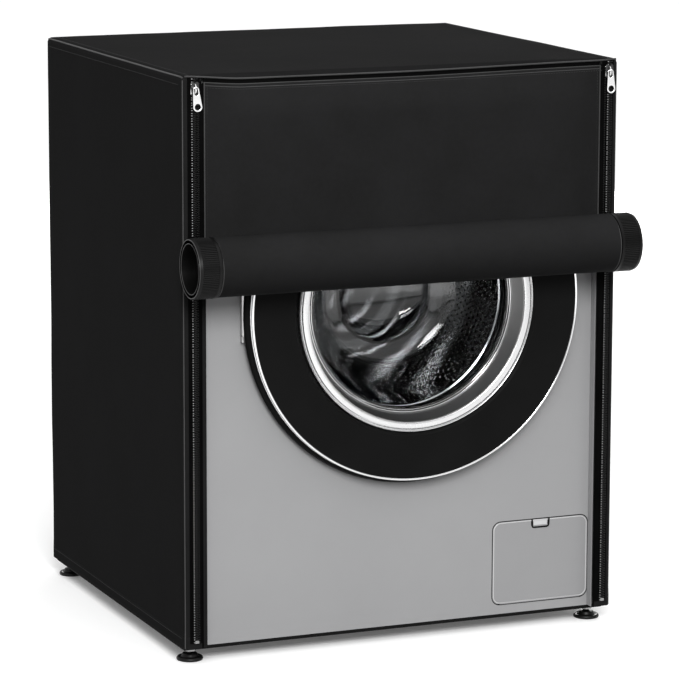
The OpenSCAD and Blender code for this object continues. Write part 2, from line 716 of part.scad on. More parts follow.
foot(foot_x, foot_back_y);  // foot_back_right
foot_lock_nuts();
cover_top();
cover_side(-1);  // cover_left
cover_side(1);  // cover_right
cover_back();
zip_chains();
zip_slider(-1);  // zip_slider_left
zip_slider(1);  // zip_slider_right
zip_puller(-1);  // zip_puller_left
zip_puller(1);  // zip_puller_right
flap_sheet();
flap_roll();
roller_tube();
roller_end_caps();
roller_axle();
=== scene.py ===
import json
import math

import bmesh
import bpy
from mathutils import Matrix, Vector, noise


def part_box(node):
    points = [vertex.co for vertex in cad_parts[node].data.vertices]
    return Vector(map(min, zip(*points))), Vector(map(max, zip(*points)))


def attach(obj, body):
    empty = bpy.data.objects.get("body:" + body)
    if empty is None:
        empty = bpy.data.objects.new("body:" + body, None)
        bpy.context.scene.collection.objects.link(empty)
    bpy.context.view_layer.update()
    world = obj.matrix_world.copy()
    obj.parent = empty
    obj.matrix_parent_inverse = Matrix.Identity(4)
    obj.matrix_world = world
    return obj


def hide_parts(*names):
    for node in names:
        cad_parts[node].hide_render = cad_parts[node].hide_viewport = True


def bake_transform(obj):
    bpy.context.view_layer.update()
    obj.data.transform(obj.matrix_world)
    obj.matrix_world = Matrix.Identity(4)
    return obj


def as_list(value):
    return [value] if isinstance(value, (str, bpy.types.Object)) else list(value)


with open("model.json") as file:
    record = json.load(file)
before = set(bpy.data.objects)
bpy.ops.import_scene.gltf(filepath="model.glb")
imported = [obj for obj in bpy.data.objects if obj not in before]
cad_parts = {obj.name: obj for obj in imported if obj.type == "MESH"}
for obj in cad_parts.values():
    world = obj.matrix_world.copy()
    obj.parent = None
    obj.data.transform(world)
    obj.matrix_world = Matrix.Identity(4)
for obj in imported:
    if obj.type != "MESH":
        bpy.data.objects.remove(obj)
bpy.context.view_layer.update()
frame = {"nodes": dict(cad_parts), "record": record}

scene = bpy.context.scene
scene.view_settings.view_transform = "Standard"

# ---- Where things are, from the frame, in metres ----

MM = 0.001
top_lo, top_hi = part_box("cover_top")
HALF_W = top_hi.x
FRONT, BACK, TOP = top_lo.y, top_hi.y, top_hi.z
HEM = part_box("cover_left")[0].z
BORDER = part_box("cover_right")[0].x                 # inner edge of the front border
trim_lo, trim_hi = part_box("door_trim_ring")
DOOR_X, DOOR_Z = (trim_lo.x + trim_hi.x) / 2, (trim_lo.z + trim_hi.z) / 2
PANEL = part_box("front_panel")[0].y
roll_lo, roll_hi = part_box("flap_roll")
ROLL_Y, ROLL_Z = (roll_lo.y + roll_hi.y) / 2, (roll_lo.z + roll_hi.z) / 2
ROLL_R = (roll_hi.z - roll_lo.z) / 2
ROLL_X, ROLL_W = (roll_lo.x + roll_hi.x) / 2, (roll_hi.x - roll_lo.x) / 2
flap_lo, flap_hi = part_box("flap_sheet")
FLAP_W = flap_hi.x
FLAP_Y = flap_lo.y                                  # front of the hanging flap
ACROSS, UP, OUT = (1, 0, 0), (0, 0, 1), (0, -1, 0)
UPRIGHT = Matrix.Rotation(math.radians(90), 4, "X")  # stands a flat outline up, facing the front
SHARP = math.radians(38)                            # faces that meet at more than this keep a hard edge


def off(d):
    """The y of what lies d in front of the cover's front plane."""
    return FRONT - d


# ---- Materials ----

def node_tree(name):
    m = bpy.data.materials.new(name)
    m.use_nodes = True
    t = m.node_tree
    shader = t.nodes["Principled BSDF"]
    return m, t, shader


def set_inputs(shader, **values):
    for k, v in values.items():
        shader.inputs[k.replace("_", " ")].default_value = v


def coords(t, scale=(1, 1, 1)):
    c = t.nodes.new("ShaderNodeTexCoord")
    mp = t.nodes.new("ShaderNodeMapping")
    mp.inputs["Scale"].default_value = scale
    t.links.new(c.outputs["Object"], mp.inputs["Vector"])
    return mp.outputs["Vector"]


def noise_tex(t, vector, scale, detail=3.0, rough=0.55):
    n = t.nodes.new("ShaderNodeTexNoise")
    n.inputs["Scale"].default_value = scale
    n.inputs["Detail"].default_value = detail
    n.inputs["Roughness"].default_value = rough
    t.links.new(vector, n.inputs["Vector"])
    return n.outputs["Fac"]


def ramp(t, fac, low, high, p0=0.3, p1=0.7):
    r = t.nodes.new("ShaderNodeValToRGB")
    r.color_ramp.elements[0].position, r.color_ramp.elements[1].position = p0, p1
    r.color_ramp.elements[0].color = (*low, 1)
    r.color_ramp.elements[1].color = (*high, 1)
    t.links.new(fac, r.inputs["Fac"])
    return r.outputs["Color"]


def span(t, fac, low, high):
    r = t.nodes.new("ShaderNodeMapRange")
    r.inputs["To Min"].default_value, r.inputs["To Max"].default_value = low, high
    t.links.new(fac, r.inputs["Value"])
    return r.outputs["Result"]


def math_node(t, op, a, b):
    n = t.nodes.new("ShaderNodeMath")
    n.operation = op
    for i, x in enumerate((a, b)):
        if isinstance(x, (int, float)):
            n.inputs[i].default_value = x
        else:
            t.links.new(x, n.inputs[i])
    return n.outputs["Value"]


def bump(t, shader, height, strength, distance, below=None):
    b = t.nodes.new("ShaderNodeBump")
    b.inputs["Strength"].default_value = strength
    b.inputs["Distance"].default_value = distance
    t.links.new(height, b.inputs["Height"])
    if below is not None:
        t.links.new(below, b.inputs["Normal"])
    t.links.new(b.outputs["Normal"], shader.inputs["Normal"])
    return b.outputs["Normal"]


def wave(t, vector, scale, axis):
    w = t.nodes.new("ShaderNodeTexWave")
    w.wave_type = "BANDS"
    w.bands_direction = axis
    w.inputs["Scale"].default_value = scale
    w.inputs["Distortion"].default_value = 0.4
    w.inputs["Detail"].default_value = 0.0
    t.links.new(vector, w.inputs["Vector"])
    return w.outputs["Fac"]


def fabric(name, dark, light, rough=0.8, sheen=0.0, spec=0.02, pitch=1.1):
    """Coated polyester: a fine plain weave, faint mottling and a soft sheen."""
    m, t, s = node_tree(name)
    v = coords(t)
    mottle = noise_tex(t, v, 7, 4)
    fine = noise_tex(t, v, 160, 2)
    t.links.new(ramp(t, math_node(t, "ADD", math_node(t, "MULTIPLY", mottle, 0.75),
                                  math_node(t, "MULTIPLY", fine, 0.25)), dark, light, 0.35, 0.65),
                s.inputs["Base Color"])
    t.links.new(span(t, mottle, rough - 0.08, rough + 0.08), s.inputs["Roughness"])
    set_inputs(s, Sheen_Weight=sheen, Sheen_Roughness=0.5, Specular_IOR_Level=spec)
    k = 1.0 / (pitch * MM) / 6.2832 * 3.14          # the wave's scale for one thread to a pitch
    threads = math_node(t, "MAXIMUM", wave(t, v, k, "Z"),
                        math_node(t, "MAXIMUM", wave(t, v, k, "X"), wave(t, v, k, "Y")))
    n1 = bump(t, s, mottle, 0.25, 0.004)
    bump(t, s, threads, 0.12, 0.0002, n1)
    return m


def metal(name, colour, rough, vary=0.05, stretch=(1, 1, 1), scale=60, strength=0.05):
    m, t, s = node_tree(name)
    v = coords(t, stretch)
    n = noise_tex(t, v, scale, 4)
    big = noise_tex(t, coords(t), 9, 3)
    t.links.new(ramp(t, big, [c * 0.93 for c in colour], colour), s.inputs["Base Color"])
    t.links.new(span(t, n, max(rough - vary, 0.02), rough + vary), s.inputs["Roughness"])
    set_inputs(s, Metallic=1.0)
    bump(t, s, n, strength, 0.0004)
    return m


def plastic(name, colour, rough, spec=0.5, grain=700, strength=0.06, vary=0.12, coat=0.0, ior=1.5):
    m, t, s = node_tree(name)
    v = coords(t)
    big, fine = noise_tex(t, v, 12, 4), noise_tex(t, v, grain, 2)
    t.links.new(ramp(t, big, [c * (1 - vary) for c in colour], [min(c * (1 + vary), 1) for c in colour]),
                s.inputs["Base Color"])
    t.links.new(span(t, fine, rough - 0.05, rough + 0.05), s.inputs["Roughness"])
    set_inputs(s, Specular_IOR_Level=spec, Coat_Weight=coat, Coat_Roughness=0.05, IOR=ior)
    bump(t, s, fine, strength, 0.0003)
    return m


def lacquer(name, colour, rough, metallic):
    """Satin metallic lacquer: fine flake, faint cloudiness and a little orange peel."""
    m, t, s = node_tree(name)
    v = coords(t)
    cloud, flake, peel = noise_tex(t, v, 5, 5, 0.6), noise_tex(t, v, 900, 1), noise_tex(t, v, 140, 2)
    shade = math_node(t, "ADD", math_node(t, "MULTIPLY", cloud, 0.8), math_node(t, "MULTIPLY", flake, 0.2))
    t.links.new(ramp(t, shade, [c * 0.965 for c in colour], [c * 1.03 for c in colour], 0.35, 0.65),
                s.inputs["Base Color"])
    t.links.new(span(t, cloud, rough - 0.04, rough + 0.04), s.inputs["Roughness"])
    set_inputs(s, Metallic=metallic, Specular_IOR_Level=0.4)
    bump(t, s, peel, 0.03, 0.0004)
    return m


def glass(name):
    m, t, s = node_tree(name)
    set_inputs(s, Transmission_Weight=1.0, IOR=1.47, Roughness=0.0)
    s.inputs["Base Color"].default_value = (0.84, 0.86, 0.87, 1)
    n = noise_tex(t, coords(t), 6, 1)
    bump(t, s, n, 0.02, 0.001)
    return m


def grey(x, blue=0.0):
    return (x, x, x * (1 + blue))


M = {
    "cabinet": lacquer("silver_lacquer", grey(0.3, 0.015), 0.5, 0.1),
    "inner_sheet": lacquer("grey_lacquer", grey(0.36), 0.5, 0.2),
    "worktop": plastic("grey_laminate", grey(0.38), 0.5),
    # black: the base's own colour, also used as painted shadow round the service hatch
    "base": plastic("black_moulding_and_painted_shadow", grey(0.003), 0.55, 0.08),
    "display": plastic("smoked_window", grey(0.004), 0.08, 0.5, strength=0.01, coat=0.5),
    "control": metal("satin_metallised", grey(0.55), 0.3, stretch=(1, 8, 1)),
    "hatch": lacquer("silver_lacquer_moulding", grey(0.285, 0.015), 0.5, 0.1),
    # pale: painted highlight on the hatch's lip and latch tab
    "hatch_lip": lacquer("pale_lip_painted_highlight", grey(0.55, 0.01), 0.35, 0.1),
    "pump": plastic("dark_grey_moulding", grey(0.05), 0.5),
    "filter": plastic("pale_moulding", grey(0.5), 0.45),
    "rubber": plastic("grey_rubber", grey(0.07, 0.03), 0.7, 0.3, 300, 0.15),
    "hinge": metal("zinc_plate", grey(0.5), 0.38),
    "door_black": plastic("door_black", grey(0.006), 0.35, 0.03, 500, 0.03),
    "door_chrome": metal("bright_chrome", grey(0.72, 0.005), 0.1, 0.04, strength=0.01),
    "door_band": metal("satin_chrome", grey(0.6, 0.005), 0.28, 0.05, strength=0.01),
    "door_cone": metal("satin_cone", grey(0.42), 0.36, 0.05, strength=0.02),
    "door_glass": glass("pressed_glass"),
    "door_back": plastic("door_back_moulding", grey(0.02), 0.5, 0.3),
    "lock": plastic("lock_moulding", grey(0.02), 0.45, 0.3),
    "tub": plastic("tub_moulding", (0.42, 0.42, 0.4), 0.5),
    "bearing": metal("ground_steel", grey(0.6), 0.2),
    "drum": metal("drum_steel", grey(0.5, 0.005), 0.14, 0.05, (1, 0.12, 1), 90, 0.04),
    # a darker copy of the drum's steel: painted shade on the back plate
    "drum_back": metal("drum_back_steel_painted_shade", grey(0.14, 0.005), 0.2, 0.06, strength=0.03),
    "casting": metal("die_casting", grey(0.55), 0.45, 0.1, scale=200, strength=0.3),
    "belt": plastic("belt_rubber", grey(0.012), 0.7, 0.3),
    "motor": plastic("motor_lacquer", grey(0.05), 0.45, 0.4, 300, 0.2),
    "concrete": plastic("cast_concrete", (0.3, 0.29, 0.27), 0.9, 0.2, 90, 0.6, 0.2),
    "spring": metal("spring_steel", grey(0.35), 0.35),
    "damper": plastic("damper_moulding", grey(0.03), 0.45),
    "foot": plastic("foot_rubber", grey(0.004), 0.4, 0.2, 400, 0.1),
    "nut": metal("nut_plate", grey(0.35), 0.4),
    # the top's cloth is a darker copy of the side and flap cloth: painted shade against the light from above
    "cover_fabric": fabric("cover_cloth_top_painted_shade", grey(0.0078), grey(0.0102, 0.03), spec=0.012),
    "side_cloth": fabric("cover_side_cloth", grey(0.0105), grey(0.014, 0.02), spec=0.012),
    "flap": fabric("flap_cloth_weave", grey(0.0105), grey(0.014, 0.03), spec=0.03),
    # lighter grey ridges: painted highlight down the front and back folds
    "seam_ridge": fabric("seam_ridge_painted_highlight", grey(0.045), grey(0.06), 0.6, 0.1, 0.15, 0.8),
    # light grey cords: painted highlight along the cover's edges and hems
    "piping": fabric("piping_cord_painted_highlight", grey(0.03), grey(0.045), 0.6, 0.1, 0.15, 0.8),
    "thread": plastic("sewing_thread", grey(0.026), 0.6, 0.2, 900, 0.2),
    # near black: the tapes' own colour, also used as painted shade on the header strip and the border hems
    "zip_tape": fabric("zip_tape_weave_and_painted_shade", grey(0.0015), grey(0.0032), 0.8, 0.0, 0.01, 0.8),
    "zip_tooth": plastic("zip_nylon", grey(0.006), 0.3, 0.25, 500, 0.02),
    # light grey beads: painted glints on the zip chains
    "zip_glint": plastic("zip_nylon_painted_glint", grey(0.3), 0.25, 0.9, 500, 0.02),
    "zip_metal": metal("nickel_plate", grey(0.85), 0.14, 0.06, strength=0.02),
    "zip_slider": metal("slider_enamel", grey(0.06), 0.3, 0.06, strength=0.02),
    "roll_cap": plastic("cap_plastic", grey(0.0025), 0.4, 0.13, 500, 0.06),
    "cap_face": plastic("cap_face_plastic", grey(0.0006), 0.9, 0.02, 500, 0.06, ior=1.02),
    # light grey rims: painted highlight on the end caps' edges
    "cap_rim": plastic("cap_rim_painted_highlight", grey(0.03), 0.4, 0.4, 500, 0.06),
    "roll_tube": plastic("tube_plastic", grey(0.002), 0.5, 0.1),
    "axle": metal("turned_steel", grey(0.4), 0.3, stretch=(6, 1, 1)),
}

# ---- Mesh helpers ----


def make(name, verts, faces, material, body=None, slot=None, smooth=True):
    mesh = bpy.data.meshes.new(name)
    mesh.from_pydata([tuple(v) for v in verts], [], faces)
    mesh.validate()
    mesh.materials.append(material)
    if smooth:
        mesh.shade_smooth()
        mesh.set_sharp_from_angle(angle=SHARP)
    ob = bpy.data.objects.new(name, mesh)
    scene.collection.objects.link(ob)
    if body:
        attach(ob, body)
    return ob


class Batch:
    """Many small solids gathered into one mesh."""

    def __init__(self):
        self.verts, self.faces = [], []

    def add(self, verts, faces):
        n = len(self.verts)
        self.verts += [Vector(v) for v in verts]
        self.faces += [tuple(n + i for i in f) for f in faces]

    def bead(self, centre, along, across, out, length, width, height):
        """A rounded grain, such as one stitch or one zip tooth."""
        a, c, o = (Vector(v) for v in (along, across, out))
        verts = [centre - a * length / 2, centre + a * length / 2]
        for s in (-0.3, 0.3):
            for u, v in ((-1, -0.2), (-0.62, 0.8), (0.62, 0.8), (1, -0.2), (0, -1)):
                verts.append(centre + a * s * length + c * u * width / 2 + o * v * height / 2)
        faces = [(2 + i, 2 + (i + 1) % 5, 7 + (i + 1) % 5, 7 + i) for i in range(5)]
        faces += [(0, 2 + (i + 1) % 5, 2 + i) for i in range(5)]
        faces += [(1, 7 + i, 7 + (i + 1) % 5) for i in range(5)]
        self.add(verts, faces)

    def make(self, name, *args, **kw):
        return make(name, self.verts, self.faces, *args, **kw)


def grid_faces(nu, nv, base=0, flip=False):
    faces = []
    for i in range(nu - 1):
        for j in range(nv - 1):
            a, b = i * nv + j, (i + 1) * nv + j
            f = (base + a, base + b, base + b + 1, base + a + 1)
            faces.append(f[::-1] if flip else f)
    return faces


def shell(rows, thickness):
    """Verts and faces of a closed thin sheet. Its outer side is the grid rows, and its thickness lies behind that."""
    nu, nv = len(rows), len(rows[0])
    front = [Vector(p) for r in rows for p in r]
    back = []
    for i in range(nu):
        for j in range(nv):
            du = front[min(i + 1, nu - 1) * nv + j] - front[max(i - 1, 0) * nv + j]
            dv = front[i * nv + min(j + 1, nv - 1)] - front[i * nv + max(j - 1, 0)]
            n = du.cross(dv)
            n = n.normalized() if n.length > 1e-12 else Vector((0, 0, 1))
            back.append(front[i * nv + j] - n * thickness)
    m = nu * nv
    faces = grid_faces(nu, nv) + grid_faces(nu, nv, m, True)
    rim = ([i * nv for i in range(nu)] + [(nu - 1) * nv + j for j in range(1, nv)]
           + [i * nv + nv - 1 for i in range(nu - 2, -1, -1)] + [j for j in range(nv - 2, 0, -1)])
    for k, a in enumerate(rim):
        b = rim[(k + 1) % len(rim)]
        faces.append((b, a, m + a, m + b))
    return front + back, faces


def tube(points, radius, sides=8, closed=False):
    """Verts and faces of a round cord along points."""
    pts = [Vector(p) for p in points]
    n = len(pts)
    verts, faces = [], []
    up = None
    for i, p in enumerate(pts):
        d = (pts[(i + 1) % n] - pts[i - 1]) if closed else (pts[min(i + 1, n - 1)] - pts[max(i - 1, 0)])
        d.normalize()
        if up is None:
            up = d.orthogonal().normalized()
        up = (up - d * up.dot(d)).normalized()
        side = d.cross(up)
        for k in range(sides):
            a = 2 * math.pi * k / sides
            verts.append(p + (up * math.cos(a) + side * math.sin(a)) * radius)
    for i in range(n if closed else n - 1):
        for k in range(sides):
            a, b = i * sides + k, i * sides + (k + 1) % sides
            c, d = (i + 1) % n * sides + (k + 1) % sides, (i + 1) % n * sides + k
            faces.append((a, b, c, d))
    if not closed:
        faces.append(tuple(range(sides))[::-1])
        faces.append(tuple((n - 1) * sides + k for k in range(sides)))
    return verts, faces


def lathe(profile, centre=None, n=192, axis="y"):
    """A closed profile of (radius, off) turned about the door's axis, or about the Z axis through centre."""
    cx, cz = centre or (DOOR_X, DOOR_Z)
    m = len(profile)
    verts, faces = [], []
    for i in range(n):
        a = 2 * math.pi * i / n
        for r, h in profile:
            if axis == "y":
                verts.append((cx + r * math.cos(a), FRONT - h, cz + r * math.sin(a)))
            else:
                verts.append((cx + r * math.cos(a), cz + r * math.sin(a), h))
    for i in range(n):
        for j in range(m):
            k = (j + 1) % m
            if profile[j][0] < 1e-7 and profile[k][0] < 1e-7:
                continue
            a, b = i * m, (i + 1) % n * m
            if profile[j][0] < 1e-7:
                faces.append((a + j, b + k, a + k))
            elif profile[k][0] < 1e-7:
                faces.append((a + j, b + j, a + k))
            else:
                faces.append((a + j, b + j, b + k, a + k))
    return verts, faces


def tidy(ob):
    """Merges points that meet on an axis and turns the faces outwards."""
    bm = bmesh.new()
    bm.from_mesh(ob.data)
    bmesh.ops.remove_doubles(bm, verts=bm.verts, dist=1e-7)
    bmesh.ops.recalc_face_normals(bm, faces=bm.faces)
    bm.to_mesh(ob.data)
    bm.free()
    ob.data.set_sharp_from_angle(angle=SHARP)
    return ob


def polyline(points, step):
    """Points every step along a line, with the direction at each."""
    out, carry = [], 0.0
    for a, b in zip(points, points[1:]):
        a, b = Vector(a), Vector(b)
        d = b - a
        length = d.length
        if length < 1e-9:
            continue
        s = carry
        while s < length:
            out.append((a + d * (s / length), d / length))
            s += step
        carry = s - length
    return out


def stitches(batch, points, out, pitch=4.2 * MM, length=3.0 * MM, width=0.7 * MM, height=0.6 * MM):
    for p, d in polyline(points, pitch):
        o = Vector(out(p) if callable(out) else out)
        batch.bead(p + d * length / 2, d, d.cross(o), o, length, width, height)


# ---- The cover ----

EDGE_R = 8 * MM                                     # radius of the cover's folds
CLOTH_T = 1.3 * MM
HEM_H = 17 * MM
STEP = 16 * MM                                      # between the cloth's points
box_lo = Vector((-HALF_W, FRONT, HEM - 1))
box_hi = Vector((HALF_W, BACK, TOP))
core_lo = box_lo + Vector((EDGE_R, EDGE_R, 0))
core_hi = box_hi - Vector((EDGE_R, EDGE_R, EDGE_R))


def smooth(x):
    x = min(max(x, 0.0), 1.0)
    return x * x * (3 - 2 * x)


def sag(x):
    """How far the loose front edge of the top hangs down, most in the left half."""
    t = (x + HALF_W) / (2 * HALF_W)
    return 5.5 * MM * smooth(t / 0.14) * (1 - 0.8 * smooth((t - 0.45) / 0.55)) * smooth((1 - t) / 0.05)


def cover_point(p):
    """A point of the plain box moved onto the rounded, slightly slack cover. Returns (point, outward normal)."""
    p = Vector(p)
    q = Vector([min(max(p[i], core_lo[i]), core_hi[i]) for i in range(3)])
    n = (p - q).normalized()
    s = q + n * EDGE_R
    inside = smooth((min(HALF_W - abs(s.x) + 0.012, 0.06)) / 0.06) if abs(n.x) < 0.7 else 1.0
    inside *= smooth((TOP - s.z + 0.01) / 0.08) if abs(n.z) < 0.7 else 1.0
    slack = noise.noise(s * 5.5) * 1.1 * MM + noise.noise(s * 17 + Vector((3, 1, 8))) * 0.35 * MM
    edge = min(abs(s.x - box_lo.x), abs(s.x - box_hi.x)) if abs(n.y) > 0.5 else 1
    if n.y < -0.5:
        slack *= smooth(edge / 0.03) * 0.3
    hem = smooth((HEM + HEM_H - s.z) / (1.0 * MM)) * 0.55 * MM
    s = s + n * (slack * inside * 0.9 - 0.4 * MM + hem)
    s.z -= sag(s.x) * smooth((FRONT + 17 * MM - s.y) / (17 * MM)) * smooth((s.z - TOP + 0.02) / 0.02)
    return s, n


def finer(a, b, step, ends=(True, True)):
    """Values from a to b, close together across the folds at its ends."""
    fold = [EDGE_R * k / 5 for k in range(5)]
    lo, hi = (EDGE_R if ends[0] else 0), (EDGE_R if ends[1] else 0)
    n = max(int((b - a - lo - hi) / step), 2)
    mid = [a + lo + (b - a - lo - hi) * i / n for i in range(n + 1)]
    near = [a + f for f in fold] if ends[0] else []
    return near + mid + ([b - f for f in reversed(fold)] if ends[1] else [])


HEM_STEPS = [HEM + d * MM for d in (0, 0.6, 4, 8, 12, 16, 16.5, 17, 17.6)]
z_list = HEM_STEPS + finer(HEM + 0.03, TOP, STEP, (False, True))

# The top panel.
xs = finer(-HALF_W, HALF_W, STEP)
ys = [FRONT + d * MM for d in (0, 1.6, 3.2, 4.8, 6.4, 8, 11, 14, 17, 20)]
ys += finer(FRONT + 0.03, BACK, STEP, (False, True))
rows = [[cover_point((x, y, TOP))[0] for y in ys] for x in xs]
cover_top = make("cover_top_cloth", *shell(rows, CLOTH_T), M["cover_fabric"], "cover", "cover_fabric")
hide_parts("cover_top")

# The side panels, each with its front border.
border = [BORDER + 2.5 * MM * k for k in range(9)] + [HALF_W - EDGE_R * k / 5 for k in (4, 3, 2, 1)]
for side, label in ((-1, "left"), (1, "right")):
    path = [(side * HALF_W, y) for y in reversed(finer(FRONT, BACK, STEP))]
    path += [(side * x, FRONT) for x in reversed(border)]
    rows = [[cover_point((x, y, z))[0] for z in z_list] for x, y in path]
    if side > 0:
        rows = rows[::-1]
    ob = make("cover_%s_cloth" % label, *shell(rows, CLOTH_T), M["side_cloth"], "cover", "cover_fabric")
    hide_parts("cover_" + label)

rows = [[cover_point((x, BACK, z))[0] for z in z_list] for x in reversed(xs)]
cover_back = make("cover_back_cloth", *shell(rows, CLOTH_T), M["side_cloth"], "cover", "cover_fabric")
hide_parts("cover_back")


def on_cover(points, lift=0.0):
    out = []
    for p in points:
        s, n = cover_point(p)
        out.append(s + n * lift)
    return out


def line(a, b, n):
    a, b = Vector(a), Vector(b)
    return [a.lerp(b, i / n) for i in range(n + 1)]


# Piping along the top seams, and a ridge down each front and back fold. Both are a lighter grey than the cloth, as
# painted highlight along the edges.
PIPE_R = 1.15 * MM
corners = [(-HALF_W, FRONT, TOP), (-HALF_W, BACK, TOP), (HALF_W, BACK, TOP), (HALF_W, FRONT, TOP)]
ring = (line(corners[0], corners[1], 60)[:-1] + line(corners[1], corners[2], 60)[:-1]
        + line(corners[2], corners[3], 60))
piping = make("cover_top_piping", *tube(on_cover(ring, 0.2 * MM), PIPE_R), M["piping"], "cover", "cover_fabric")
seam = Batch()
for side in (-1, 1):
    for y in (FRONT, BACK):
        fold = line((side * HALF_W, y, HEM + 1 * MM), (side * HALF_W, y, TOP - 6 * MM), 60)
        seam.add(*tube(on_cover(fold, 0.1 * MM), 0.8 * MM, 6))
cover_seams = seam.make("cover_corner_seams", M["seam_ridge"], "cover", "cover_fabric")

# the front piping's light grey is painted highlight
pipe_end = HALF_W - 5 * MM
pipe = []
for i in range(121):
    x = -pipe_end + 2 * pipe_end * i / 120
    back_set = 2.2 * MM * smooth((abs(x) - FLAP_W - 4 * MM) / (20 * MM))
    pipe.append(Vector((x, off(2.6 * MM) + back_set, TOP - 1.2 * MM - sag(x))))
front_piping = make("cover_front_piping", *tube(pipe, PIPE_R, 10), M["piping"], "cover", "cover_fabric")

# Stitching: rows beside the top seams and one above the hem.
sewn = Batch()
INSET = 13.5 * MM                                   # from a seam to its row
HEM_ROW = HEM + 14 * MM
END = 12 * MM                                       # from a fold to the end of a row


def sew(a, b, out, lift=0.1 * MM):
    stitches(sewn, on_cover(line(a, b, 80), lift), out)


for side in (-1, 1):
    x = side * (HALF_W - INSET)
    sew((x, FRONT + END, TOP), (x, BACK - END, TOP), UP)
    x = side * HALF_W
    sew((x, FRONT + 14 * MM, TOP - INSET), (x, BACK - 14 * MM, TOP - INSET), (side, 0, 0))
    sew((x, FRONT + END, HEM_ROW), (x, BACK - END, HEM_ROW), (side, 0, 0), 0.15 * MM)
x = HALF_W - END
sew((-x, BACK, HEM_ROW), (x, BACK, HEM_ROW), (0, 1, 0), 0.15 * MM)
sew((-x, BACK - INSET, TOP), (x, BACK - INSET, TOP), UP)
cover_stitches = sewn.make("cover_stitching", M["thread"], "cover", "cover_fabric")

# ---- The zips ----

ZIP_X = (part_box("zip_slider_right")[0].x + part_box("zip_slider_right")[1].x) / 2
ZIP_LO, ZIP_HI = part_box("zip_chains")[0].z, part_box("zip_chains")[1].z
TOOTH_PITCH, ROW_PITCH = 2.6 * MM, 3.6 * MM
zip_z = [ZIP_LO + (ZIP_HI - ZIP_LO) * k / 120 for k in range(121)]
zip_parts = {}
for side, label in ((-1, "left"), (1, "right")):
    tapes, teeth, ribs, glints = Batch(), Batch(), Batch(), Batch()
    # the two chains are not mirror images of each other
    aside, row_gap = (-1.9 * MM, 3.8 * MM) if side < 0 else (6.3 * MM, 3.2 * MM)
    chain_x = side * ZIP_X + aside
    for part in (-1, 1):
        outer = side * (HALF_W - 8.5 * MM) if part == side else side * (BORDER + 2.4 * MM)
        x0, x1 = sorted((chain_x + part * 1.0 * MM, outer))
        rows = []
        for i in range(5):
            x = x0 + (x1 - x0) * i / 4
            lift = 1.1 * MM if abs(x - chain_x) < 2 * MM else 0.75 * MM
            rows.append([(x, off(lift + 0.12 * MM * math.sin(z * 190 + part)), z) for z in zip_z])
        tapes.add(*shell(rows, 0.45 * MM))
        z = ZIP_LO + 3 * MM
        while z < ZIP_HI - 2 * MM:
            x = chain_x + part * 1.15 * MM
            zz = z + (TOOTH_PITCH / 4 if part > 0 else 0)
            teeth.bead(Vector((x, off(1.7 * MM), zz)), ACROSS, UP, OUT, 3.2 * MM, 1.15 * MM, 1.7 * MM)
            z += TOOTH_PITCH
        z = ZIP_LO + 2 * MM
        while z < ZIP_HI - 1 * MM:
            # the rows on the -x side of each chain are light beads: painted glints
            row, big = (glints, 1.0) if part < 0 else (ribs, 0.85)
            centre = Vector((chain_x + part * row_gap, off(1.4 * MM), z + 0.3 * MM * math.sin(z * 900)))
            row.bead(centre, UP, ACROSS, OUT, 1.45 * MM * big, 1.9 * MM * big, 1.6 * MM * big)
            z += ROW_PITCH
    # three bars at the chain's foot, in the same painted-glint colour
    for k in range(3):
        centre = Vector((chain_x, off(2.0 * MM), ZIP_LO + (1.0 + 1.3 * k) * MM))
        glints.bead(centre, ACROSS, UP, OUT, 7.0 * MM, 1.3 * MM, 2.2 * MM)
    zip_parts[label] = [tapes.make("zip_tape_" + label, M["zip_tape"], "cover", "zip_tape"),
                        teeth.make("zip_teeth_" + label, M["zip_tooth"], "cover", "zip_tape"),
                        ribs.make("zip_tape_sewing_" + label, M["thread"], "cover", "zip_tape"),
                        glints.make("zip_painted_glint_row_" + label, M["zip_glint"], "cover", "zip_tape")]
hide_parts("zip_chains")

# The border's inner hem, near black as painted shade, and a lap of cloth over the left one.
for side, label in ((-1, "left"), (1, "right")):
    x = side * (BORDER + 1.2 * MM)
    edge = [(x, off(0.3 * MM), HEM + 0.5 * MM + (TOP - 9 * MM - HEM) * k / 60) for k in range(61)]
    hem = make("border_hem_" + label, *tube(edge, 1.15 * MM), M["zip_tape"], "cover", "cover_fabric")
    zip_parts[label].append(hem)
lap = [[(d * MM - BORDER, off(0.3 * MM), HEM + 0.5 * MM + (TOP - 12 * MM - HEM) * k / 60) for k in range(61)]
       for d in (-1.5, 2, 5.5)]
zip_parts["left"].append(make("border_lap_left", *shell(lap, 0.8 * MM), M["side_cloth"], "cover", "cover_fabric"))


def outline_solid(name, loops, depth, bevel, material, place):
    """A flat piece cut from outlines, with rounded edges. place moves it from the outline's plane."""
    c = bpy.data.curves.new(name, "CURVE")
    c.dimensions, c.fill_mode = "2D", "BOTH"
    c.extrude, c.bevel_depth, c.bevel_resolution = depth / 2 - bevel, bevel, 2
    c.offset = -bevel
    for loop in loops:
        s = c.splines.new("POLY")
        s.points.add(len(loop) - 1)
        for i, (x, y) in enumerate(loop):
            s.points[i].co = (x, y, 0, 1)
        s.use_cyclic_u = True
    tmp = bpy.data.objects.new(name + "_curve", c)
    scene.collection.objects.link(tmp)
    bpy.context.view_layer.update()
    mesh = bpy.data.meshes.new_from_object(tmp.evaluated_get(bpy.context.evaluated_depsgraph_get()))
    bpy.data.objects.remove(tmp)
    mesh.name = name
    mesh.transform(place)
    mesh.materials.clear()
    mesh.materials.append(material)
    mesh.shade_smooth()
    mesh.set_sharp_from_angle(angle=SHARP)
    ob = bpy.data.objects.new(name, mesh)
    scene.collection.objects.link(ob)
    return ob


